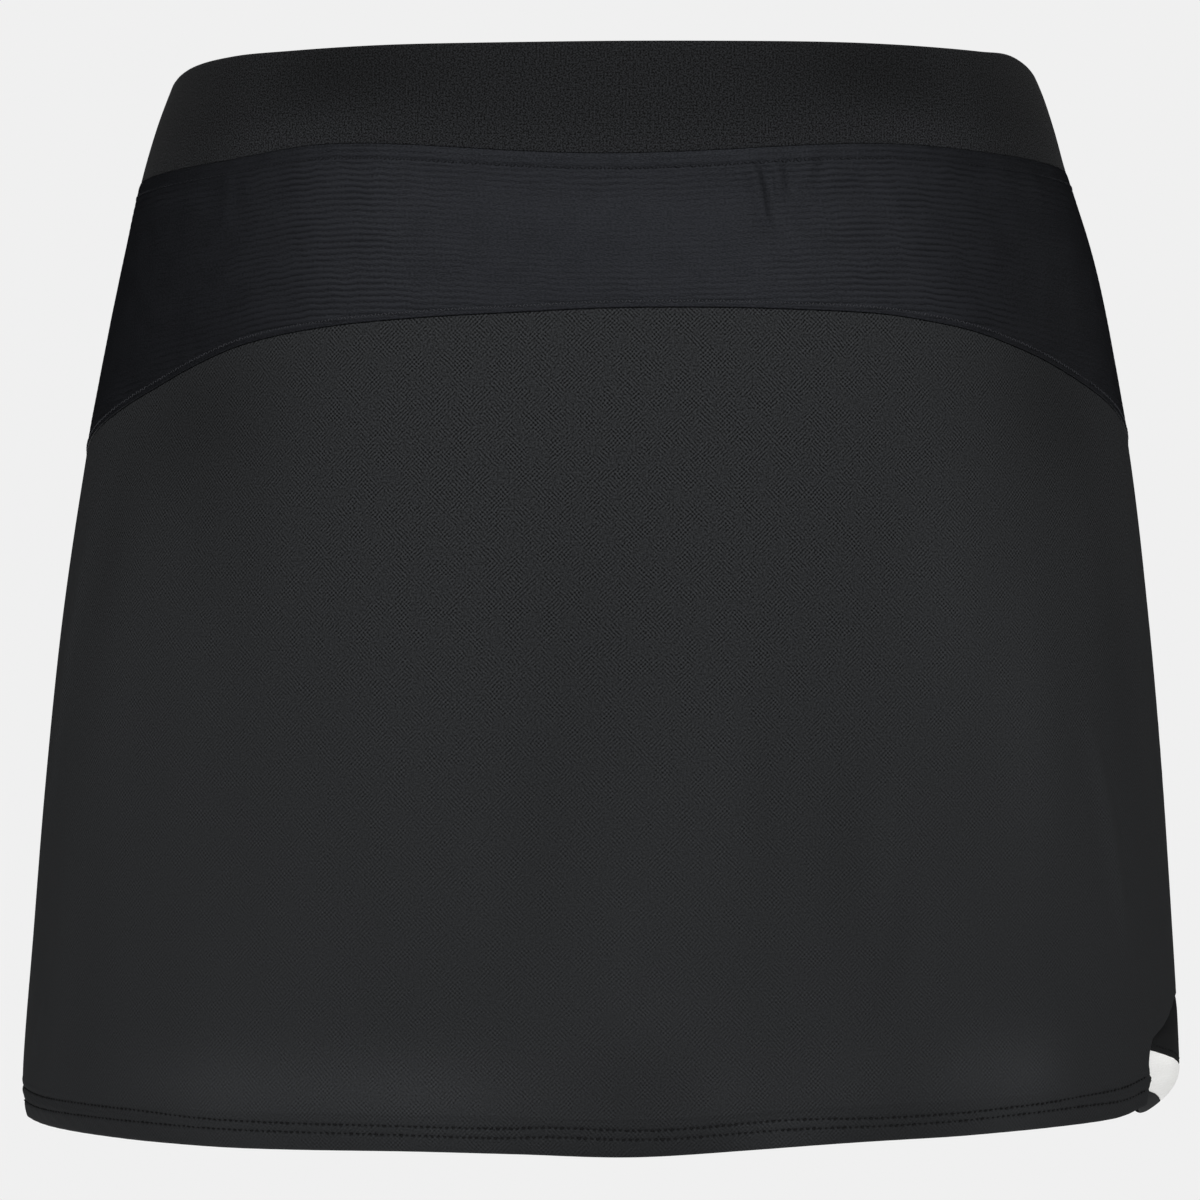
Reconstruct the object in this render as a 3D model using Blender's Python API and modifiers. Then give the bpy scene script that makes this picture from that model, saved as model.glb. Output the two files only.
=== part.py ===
"""A tennis skort, filled out as if worn, as open cloth walls. Blender 4.5.

The model is in metres. The tables below are in millimetres and degrees. The origin is at the
centre of the waist opening, +Z is up and the back faces -Y. Angles run round the body from the
centre back: 90 is the right side seam, 180 the centre front and 270, or -90, the left side seam.
"""

import bisect
import math
from collections import namedtuple

import bmesh
import bpy
from mathutils import Vector

MM = 0.001

# Cloth and seams, in millimetres.
SEAM_GAP = 0.3  # between two pieces that are sewn together
WAISTBAND_SIDE_GAP = 0.6  # outside, where the thick walls lean together
PANEL_CLOTH = 1.2
WAISTBAND_CLOTH = 2.8  # two layers of jersey
SHORTS_CLOTH = 1.0
YOKE_PROUD = 0.5  # the yoke stands this far out of the panel below it
HEM_TURN = 11.0  # height of the turned hem, which is twice as thick
HEM_STEP = 0.6  # height over which the wall thickens

# Ribs of the yoke.
RIB_PITCH = 1.9
RIB_PITCH_GAIN = 0.25  # the pitch is this much wider at the side seams
RIB_HEIGHT = 0.35
RIB_LEDGE = 0.9  # plain strip along the yoke's upper and lower edges

# Light band and dark edge along the front hem, which curls in.
BAND_HEIGHT = 12.3
EDGE_HEIGHT = 4.5
CURL_POWER = 2.2

# Side seams and vents, in degrees and millimetres.
RIGHT_SEAM = 90.0
LEFT_SEAM = -90.0
VENT_TOP = -288.0
VENT_RUN = 8.0  # height over which the front starts to lap under the back
VENT_LAP = 1.6  # degrees that the front laps under the back
VENT_INSET = 3.0  # depth of the front under the back
VENT_BLEND = 10.0  # degrees over which the front comes back out

# Inner shorts.
SHORTS_DROP = 1.0  # their upper edge follows the slant of the waistband's lower face
CENTRE_GAP = 0.3
INSEAM_GAP = 0.6
CROTCH_Z = -248.0
CROTCH_CURVE = 85.0  # height over which the body divides into two legs

COLUMNS = 32  # across a half turn
YOKE_ROWS = 78  # two to a rib, enough for the deepest part
YOKE_INNER_ROWS = 5

Section = namedtuple("Section", "z half_width back_depth front_depth sideways")
Line = namedtuple("Line", "angle z")
Vent = namedtuple("Vent", "z angle")
Fold = namedtuple("Fold", "top_angle hem_angle top_z height width")
Curl = namedtuple("Curl", "angle depth")
Inset = namedtuple("Inset", "z depth")
Leg = namedtuple("Leg", "z inner outer half_depth centre_y")
Look = namedtuple("Look", "colour roughness")

# The outside of the skirt at each height.
BODY = [
    Section(-365, 193.4, 141.0, 131.5, 0.0),
    Section(-350, 194.2, 140.0, 131.0, 0.0),
    Section(-333, 194.4, 139.2, 130.0, 0.0),
    Section(-293, 191.8, 137.0, 127.5, 0.4),
    Section(-239, 187.9, 133.5, 123.5, 1.0),
    Section(-185, 183.0, 128.5, 119.0, 1.3),
    Section(-131, 175.4, 122.0, 114.0, 2.2),
    Section(-90, 168.1, 115.5, 109.5, 2.7),
    Section(-63, 162.4, 110.5, 106.0, 2.4),
    Section(-36, 155.1, 105.0, 102.0, 1.1),
    Section(-20, 150.6, 101.2, 99.0, 1.2),
    Section(-8, 147.0, 98.6, 96.6, 1.4),
    Section(3, 142.0, 96.0, 94.0, 1.5),
]

WAIST_RIM = [
    Line(-90, -7.0),
    Line(-72, -2.2),
    Line(-54, -0.4),
    Line(0, 0.0),
    Line(53, 1.3),
    Line(70, 1.6),
    Line(90, -4.0),
    Line(135, -6.0),
    Line(180, -8.0),
    Line(225, -8.0),
    Line(270, -7.0),
]

WAIST_SEAM = [
    Line(-90, -39.0),
    Line(-54, -35.7),
    Line(-34, -32.0),
    Line(0, -36.6),
    Line(35, -31.8),
    Line(56, -32.9),
    Line(90, -35.6),
    Line(135, -38.5),
    Line(180, -40.0),
    Line(225, -40.0),
    Line(270, -39.0),
]

YOKE_SEAM = [
    Line(-90, -126.5),
    Line(-62, -109.5),
    Line(-45, -96.0),
    Line(-21, -88.3),
    Line(0, -85.7),
    Line(31, -86.0),
    Line(44, -90.0),
    Line(58, -97.3),
    Line(74, -109.5),
    Line(90, -123.0),
]

BACK_HEM = [
    Line(-90, -346.5),
    Line(-80, -347.2),
    Line(-73, -349.0),
    Line(-55, -350.0),
    Line(-38, -350.3),
    Line(-19, -349.4),
    Line(-8, -349.8),
    Line(3, -350.4),
    Line(14, -348.8),
    Line(24, -347.4),
    Line(48, -346.0),
    Line(60, -345.5),
    Line(66, -343.6),
    Line(90, -336.0),
]

FRONT_HEM = [
    Line(63, -340.8),
    Line(70, -342.3),
    Line(78, -346.5),
    Line(86, -350.2),
    Line(100, -352.0),
    Line(130, -353.5),
    Line(180, -353.5),
    Line(230, -353.0),
    Line(255, -352.0),
    Line(270, -350.5),
    Line(283, -348.5),
]

# Where the back panel's edge runs, from the hem up to the top of the vent.
RIGHT_VENT = [
    Vent(-352, 65.0),
    Vent(-340, 66.0),
    Vent(-325, 67.2),
    Vent(-320, 70.8),
    Vent(-312, 76.2),
    Vent(-303, 82.5),
    Vent(-288, RIGHT_SEAM),
]
LEFT_VENT = [
    Vent(-352, -79.3),
    Vent(-342, -80.8),
    Vent(-334, -86.0),
    Vent(-324, -90.0),
    Vent(-310, LEFT_SEAM),
    Vent(-288, LEFT_SEAM),
]

# Soft ridges that widen towards the hem.
FOLDS = [
    Fold(-58, -70, -150, 1.2, 5.0),
    Fold(-33, -37, -235, 0.9, 9.0),
    Fold(20, 23, -205, 1.3, 8.0),
    Fold(38, 42, -225, 1.6, 7.0),
    Fold(54, 60, -245, 1.6, 5.0),
    Fold(112, 108, -190, 1.6, 6.0),
    Fold(141, 138, -230, 1.4, 8.0),
    Fold(172, 176, -205, 1.2, 9.0),
    Fold(208, 213, -240, 1.5, 8.0),
    Fold(243, 249, -180, 1.4, 6.0),
]

# How far the front hem's edge curls in.
HEM_CURL = [
    Curl(60, 12.0),
    Curl(92, 12.0),
    Curl(125, 4.0),
    Curl(180, 3.0),
    Curl(284, 3.0),
]

# How far the shorts lie inside the skirt, and the sections of one leg.
SHORTS_INSET = [
    Inset(-250, 20.0),
    Inset(-163, 12.0),
    Inset(-120, 8.0),
    Inset(-80, 5.5),
    Inset(-55, 3.6),
    Inset(-30, 1.8),
]
LEGS = [
    Leg(-320, 9.0, 165.0, 84.0, -2.0),
    Leg(-285, 5.0, 167.0, 88.0, -3.0),
    Leg(-248, CENTRE_GAP / 2, 168.0, 95.0, -4.0),
]

LOOKS = {
    "waistband_back": Look((33, 34, 36), 0.75),
    "waistband_front": Look((33, 34, 36), 0.75),
    "back_yoke": Look((40, 41, 46), 0.5),
    "back_panel": Look((41, 42, 44), 0.65),
    "front_panel": Look((41, 42, 44), 0.65),
    "front_hem_band": Look((227, 227, 225), 0.7),
    "front_hem_edge": Look((38, 38, 40), 0.65),
    "shorts_left": Look((30, 31, 34), 0.6),
    "shorts_right": Look((30, 31, 34), 0.6),
}


def clear_scene():
    for thing in list(bpy.data.objects):
        bpy.data.objects.remove(thing)


def smoothstep(share):
    share = min(max(share, 0.0), 1.0)
    return share * share * (3.0 - 2.0 * share)


def on_curve(rows, place):
    """The second and later columns at a place along the first, on a smooth curve."""
    places = [row[0] for row in rows]
    place = min(max(place, places[0]), places[-1])
    after = min(max(bisect.bisect_right(places, place), 1), len(rows) - 1)
    before = after - 1
    span = places[after] - places[before]
    t = (place - places[before]) / span

    def slope(index, column):
        low = rows[max(index - 1, 0)]
        high = rows[min(index + 1, len(rows) - 1)]
        return (high[column] - low[column]) / (high[0] - low[0])

    values = []
    for column in range(1, len(rows[0])):
        start, end = rows[before][column], rows[after][column]
        rise = slope(before, column) * span
        run_out = slope(after, column) * span
        eased = smoothstep(t)
        bend = (t**3 - 2 * t**2 + t) * rise + (t**3 - t**2) * run_out
        values.append(start + (end - start) * eased + bend)
    return values


def line_z(rows, angle):
    """Height of a seam or hem at an angle, which may be given past a full turn."""
    if angle > rows[-1].angle or angle < rows[0].angle:
        angle = (angle - LEFT_SEAM) % 360 + LEFT_SEAM
    return on_curve(rows, angle)[0]


def fold_height(angle, z):
    """How far the soft folds push the cloth out."""
    height = 0.0
    for fold in FOLDS:
        down = (fold.top_z - z) / (fold.top_z - BODY[1].z)
        middle = fold.top_angle + (fold.hem_angle - fold.top_angle) * min(down, 1.0)
        across = (angle - middle) / fold.width
        height += fold.height * smoothstep(down * 1.2) * math.exp(-across * across)
    return height


def body_point(angle, z):
    """Point of the smooth body that the cloth is shaped on."""
    half_width, back_depth, front_depth, sideways = on_curve(BODY, z)
    side, back = math.sin(math.radians(angle)), math.cos(math.radians(angle))
    depth = back_depth if back > 0 else front_depth
    return Vector((sideways + half_width * side, -depth * back, z))


def skirt_point(angle, z, out=0.0):
    """Point of the skirt's outside, moved some millimetres out along the wall's normal."""
    round_body = body_point(angle + 0.5, z) - body_point(angle - 0.5, z)
    up_body = body_point(angle, z + 1) - body_point(angle, z - 1)
    normal = round_body.cross(up_body).normalized()
    return body_point(angle, z) + normal * (out + fold_height(angle, z))


def seam_angle(z):
    """Half the seam gap, as an angle at the side of the skirt."""
    return math.degrees(SEAM_GAP / 2 / on_curve(BODY, z)[2])


def back_edges(z):
    """Angles of the back panel's left and right edges."""
    gap = seam_angle(z)
    return on_curve(LEFT_VENT, z)[0] + gap, on_curve(RIGHT_VENT, z)[0] - gap


def vent_opening(z):
    """0 where the side seam is sewn, 1 where the vent is open."""
    return smoothstep((VENT_TOP + VENT_RUN - z) / VENT_RUN)


def front_edges(z):
    """Angles of the front panel's right and left edges, which lap under the back's."""
    left, right = back_edges(z)
    lap = VENT_LAP * smoothstep((VENT_TOP - z) / VENT_RUN)
    gap = seam_angle(z) * (2 + 4 * vent_opening(z))
    return right + gap - lap, left + 360 - gap + lap


def front_inset(angle, z):
    """How far the front panel lies in, beside and under the back panel's vent edges."""
    left, right = back_edges(z)
    past_edge = min(angle - right, left + 360 - angle)
    beside = smoothstep(1.0 - (past_edge - VENT_LAP) / VENT_BLEND)
    return VENT_INSET * beside * vent_opening(z)


def front_point(angle, z):
    """Point of the front panel's or front hem's outside, with the hem's inward curl."""
    above_hem = z - line_z(FRONT_HEM, angle)
    curl_height = BAND_HEIGHT + EDGE_HEIGHT
    curled = max(curl_height - above_hem, 0.0) / curl_height
    curl = on_curve(HEM_CURL, angle)[0] * curled**CURL_POWER
    return skirt_point(angle, z, -front_inset(angle, z) - curl)


def spaced(start, end, count):
    return [start + (end - start) * step / count for step in range(count + 1)]


def make_material(name):
    look = LOOKS[name]
    linear = [((value / 255 + 0.055) / 1.055) ** 2.4 for value in look.colour]
    material = bpy.data.materials.new(name)
    material.use_nodes = True
    shader = material.node_tree.nodes["Principled BSDF"]
    shader.inputs["Base Color"].default_value = (*linear, 1.0)
    shader.inputs["Roughness"].default_value = look.roughness
    shader.inputs["Metallic"].default_value = 0.0
    material.diffuse_color = (*linear, 1.0)
    return material


def add_object(name, mesh, collection):
    mesh.materials.append(make_material(name))
    mesh.shade_smooth()
    mesh.set_sharp_from_angle(angle=math.radians(50))
    piece = bpy.data.objects.new(name, mesh)
    collection.objects.link(piece)
    return piece


def cloth_grid(name, columns, rows, place):
    """A flat grid moved onto the body: place(across, row) gives each point, row 0 on top."""
    grid = bmesh.new()
    bmesh.ops.create_grid(grid, x_segments=columns, y_segments=rows, size=1.0)
    for vertex in grid.verts:
        across = (vertex.co.x + 1) / 2
        row = round((1 - vertex.co.y) / 2 * rows)
        vertex.co = place(across, row) * MM
    mesh = bpy.data.meshes.new(name)
    grid.to_mesh(mesh)
    grid.free()
    return mesh


def add_cloth(name, columns, rows, place, thickness, collection, doubled=None):
    """A cloth wall with its outside on the grid. doubled(row) is true in a turned hem."""
    piece = add_object(name, cloth_grid(name, columns, rows, place), collection)
    wall = piece.modifiers.new("wall", "SOLIDIFY")
    wall.offset = -1.0
    wall.use_even_offset = True
    wall.thickness = thickness * MM
    if doubled is None:
        return piece
    wall.thickness = 2 * thickness * MM
    group = piece.vertex_groups.new(name="layers")
    for index in range(len(piece.data.vertices)):
        row = rows - index // (columns + 1)
        group.add([index], 1.0 if doubled(row) else 0.5, "REPLACE")
    wall.vertex_group = group.name
    return piece


def add_waistband(name, first_angle, last_angle, collection):
    rows = 5

    def place(across, row):
        angle = first_angle + (last_angle - first_angle) * across
        top = line_z(WAIST_RIM, angle)
        bottom = line_z(WAIST_SEAM, angle) + SEAM_GAP / 2
        return skirt_point(angle, top + (bottom - top) * row / rows)

    return add_cloth(name, COLUMNS, rows, place, WAISTBAND_CLOTH, collection)


def hem_heights(hem_rows, body_rows, top):
    """Heights above the hem, from the panel's top edge down to the hem."""
    return spaced(top, hem_rows[0], body_rows)[:-1] + hem_rows


def add_back_panel(collection):
    hem_rows = [48, 41, 34, 27, 20, HEM_TURN + HEM_STEP, HEM_TURN, 6, 0]
    body_rows = 8
    rows = body_rows + len(hem_rows) - 1

    def place(across, row):
        angle = LEFT_SEAM + 180 * across
        for _ in range(3):
            hem = line_z(BACK_HEM, angle)
            top = line_z(YOKE_SEAM, angle) - SEAM_GAP / 2 - hem
            z = hem + hem_heights(hem_rows, body_rows, top)[row]
            left, right = back_edges(z)
            angle = left + (right - left) * across
        return skirt_point(angle, z)

    def in_hem(row):
        return row >= rows - 2

    return add_cloth(
        "back_panel", COLUMNS, rows, place, PANEL_CLOTH, collection, in_hem
    )


def add_front_panel(collection):
    hem_rows = [71, 62.5, 54, 46, 38, 31, 24, BAND_HEIGHT + EDGE_HEIGHT + SEAM_GAP / 2]
    body_rows = 8
    rows = body_rows + len(hem_rows) - 1

    def place(across, row):
        angle = RIGHT_SEAM + 180 * across
        for _ in range(3):
            hem = line_z(FRONT_HEM, angle)
            top = line_z(WAIST_SEAM, angle) - SEAM_GAP / 2 - hem
            z = hem + hem_heights(hem_rows, body_rows, top)[row]
            right, left = front_edges(z)
            angle = right + (left - right) * across
        return front_point(angle, z)

    return add_cloth("front_panel", COLUMNS, rows, place, PANEL_CLOTH, collection)


def add_front_strip(name, low, high, rows, thickness, collection):
    """A strip of the front between two heights above its hem."""

    def place(across, row):
        angle = RIGHT_SEAM + 180 * across
        for _ in range(3):
            z = line_z(FRONT_HEM, angle) + high + (low - high) * row / rows
            right, left = front_edges(z)
            angle = right + (left - right) * across
        return front_point(angle, z)

    return add_cloth(name, COLUMNS, rows, place, thickness, collection)


def rib_pitch(angle):
    return RIB_PITCH * (1 + RIB_PITCH_GAIN * (angle / 90) ** 2)


def yoke_lines(angle):
    """Heights of the yoke's upper and lower edges."""
    upper = line_z(WAIST_SEAM, angle) - SEAM_GAP / 2
    lower = line_z(YOKE_SEAM, angle) + SEAM_GAP / 2
    return upper, lower


def yoke_point(across, z, out):
    angle = LEFT_SEAM + 180 * across + seam_angle(z) * (1 - 2 * across)
    return skirt_point(angle, z, out)


def yoke_outside(across, row):
    """Rows run along the ribs, two to a rib, and end at the yoke's curved lower edge."""
    angle = LEFT_SEAM + 180 * across
    upper, lower = yoke_lines(angle)
    if row == 0:
        return yoke_point(across, upper, YOKE_PROUD)
    z = upper - RIB_LEDGE - (row - 1) * rib_pitch(angle) / 2
    if z < lower + RIB_LEDGE or row == YOKE_ROWS:
        return yoke_point(across, lower, YOKE_PROUD)
    crest = RIB_HEIGHT if row % 2 == 0 else 0.0
    return yoke_point(across, z, YOKE_PROUD + crest)


def yoke_inside(across, row):
    upper, lower = yoke_lines(LEFT_SEAM + 180 * across)
    z = upper + (lower - upper) * row / YOKE_INNER_ROWS
    return yoke_point(across, z, -PANEL_CLOTH)


def add_back_yoke(collection):
    """A loft between a ribbed outside and a plain inside, which no modifier makes."""
    shell = bmesh.new()
    sides = []
    for rows, place in ((YOKE_ROWS, yoke_outside), (YOKE_INNER_ROWS, yoke_inside)):
        sheet = cloth_grid("yoke_side", COLUMNS, rows, place)
        first = len(shell.verts)
        shell.from_mesh(sheet)
        bpy.data.meshes.remove(sheet)
        points = list(shell.verts)[first:]
        width = COLUMNS + 1
        sides.append([points[start : start + width] for start in range(0, len(points), width)])
    outer, inner = sides
    for end in (0, -1):
        for column in range(COLUMNS):
            after = column + 1
            corners = [outer[end][column], outer[end][after], inner[end][after], inner[end][column]]
            shell.faces.new(corners)
        side_loop = [row[end] for row in outer] + [row[end] for row in reversed(inner)]
        shell.faces.new(side_loop)
    bmesh.ops.remove_doubles(shell, verts=shell.verts, dist=1e-6)
    bmesh.ops.recalc_face_normals(shell, faces=shell.faces)
    mesh = bpy.data.meshes.new("back_yoke")
    shell.to_mesh(mesh)
    shell.free()
    return add_object("back_yoke", mesh, collection)


def leg_point(side, turn, z):
    """Point round one leg: turn runs from 90 at the inseam's front to -90 at its back."""
    inner, outer, half_depth, centre_y = on_curve(LEGS, z)
    middle, half_width = (outer + inner) / 2, (outer - inner) / 2
    around = math.radians(2 * turn)
    x = middle + half_width * math.cos(around)
    y = centre_y + half_depth * math.sin(around) + INSEAM_GAP / 2 * turn / 90
    return Vector((side * x, y, z))


def hip_point(side, turn, z):
    """Point round one half of the body, from centre front at 90 to centre back at -90."""
    half_width, back_depth, front_depth, _ = on_curve(BODY, z)
    inset = on_curve(SHORTS_INSET, z)[0]
    depth = front_depth if turn > 0 else back_depth
    around = math.radians(turn)
    x = (half_width - inset) * math.cos(around) + CENTRE_GAP / 2
    return Vector((side * x, (depth - inset) * math.sin(around), z))


def add_shorts(name, side, collection):
    """Half of the inner shorts: it wraps the hip, and below the crotch curve it wraps the leg."""
    hip_rows, curve_rows, leg_rows = 4, 6, 3
    rows = hip_rows + curve_rows + leg_rows
    curve_top = CROTCH_Z + CROTCH_CURVE

    def place(across, row):
        turn = side * (180 * across - 90)
        top = line_z(WAIST_SEAM, side * (90 + turn)) - SEAM_GAP / 2 - SHORTS_DROP
        split = 0.0
        if row <= hip_rows:
            z = top + (curve_top - top) * row / hip_rows
        elif row <= hip_rows + curve_rows:
            bend = math.radians(90 * (1 - (row - hip_rows) / curve_rows))
            z = CROTCH_Z + CROTCH_CURVE * (1 - math.cos(bend))
            split = 1 - math.sin(bend)
        else:
            down = (row - hip_rows - curve_rows) / leg_rows
            z = CROTCH_Z + (LEGS[0].z - CROTCH_Z) * down
            split = 1.0
        point = hip_point(side, turn, z).lerp(leg_point(side, turn, z), split)
        point.x += on_curve(BODY, z)[3]
        return point

    return add_cloth(name, COLUMNS, rows, place, SHORTS_CLOTH, collection)


def main():
    clear_scene()
    collection = bpy.data.collections.new("tennis_skort")
    bpy.context.scene.collection.children.link(collection)
    gap = WAISTBAND_SIDE_GAP / SEAM_GAP * seam_angle(WAIST_SEAM[0].z)
    add_waistband("waistband_back", LEFT_SEAM + gap, RIGHT_SEAM - gap, collection)
    add_waistband("waistband_front", RIGHT_SEAM + gap, LEFT_SEAM + 360 - gap, collection)
    add_back_yoke(collection)
    add_back_panel(collection)
    add_front_panel(collection)
    band_top = EDGE_HEIGHT + BAND_HEIGHT - SEAM_GAP / 2
    band_bottom = EDGE_HEIGHT + SEAM_GAP / 2
    add_front_strip("front_hem_band", band_bottom, band_top, 4, PANEL_CLOTH, collection)
    edge_top = EDGE_HEIGHT - SEAM_GAP / 2
    add_front_strip("front_hem_edge", 0.0, edge_top, 2, 2 * PANEL_CLOTH, collection)
    add_shorts("shorts_left", -1, collection)
    add_shorts("shorts_right", 1, collection)


main()
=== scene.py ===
import math

import bmesh
import bpy
import numpy as np
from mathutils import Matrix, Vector


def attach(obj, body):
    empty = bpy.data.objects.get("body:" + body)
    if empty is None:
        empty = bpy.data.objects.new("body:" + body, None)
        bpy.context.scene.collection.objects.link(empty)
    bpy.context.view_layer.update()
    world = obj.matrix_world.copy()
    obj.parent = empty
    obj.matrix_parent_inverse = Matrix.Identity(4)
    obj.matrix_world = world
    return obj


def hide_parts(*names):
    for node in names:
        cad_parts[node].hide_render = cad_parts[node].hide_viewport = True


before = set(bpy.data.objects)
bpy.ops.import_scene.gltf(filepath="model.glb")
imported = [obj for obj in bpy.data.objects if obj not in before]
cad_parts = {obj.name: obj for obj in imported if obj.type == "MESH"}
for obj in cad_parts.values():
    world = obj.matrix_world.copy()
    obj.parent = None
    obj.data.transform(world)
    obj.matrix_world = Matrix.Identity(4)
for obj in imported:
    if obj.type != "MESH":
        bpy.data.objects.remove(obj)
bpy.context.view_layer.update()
print("frame loaded with", len(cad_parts), "cloth pieces")

# Lengths are in millimetres and angles in degrees until a mesh is made. Angles run round the
# body from the centre back: 90 is the right side seam, 180 the centre front, 270 the left seam.
mm = 0.001
rightSeam = 90.0
leftSeam = -90.0

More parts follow.
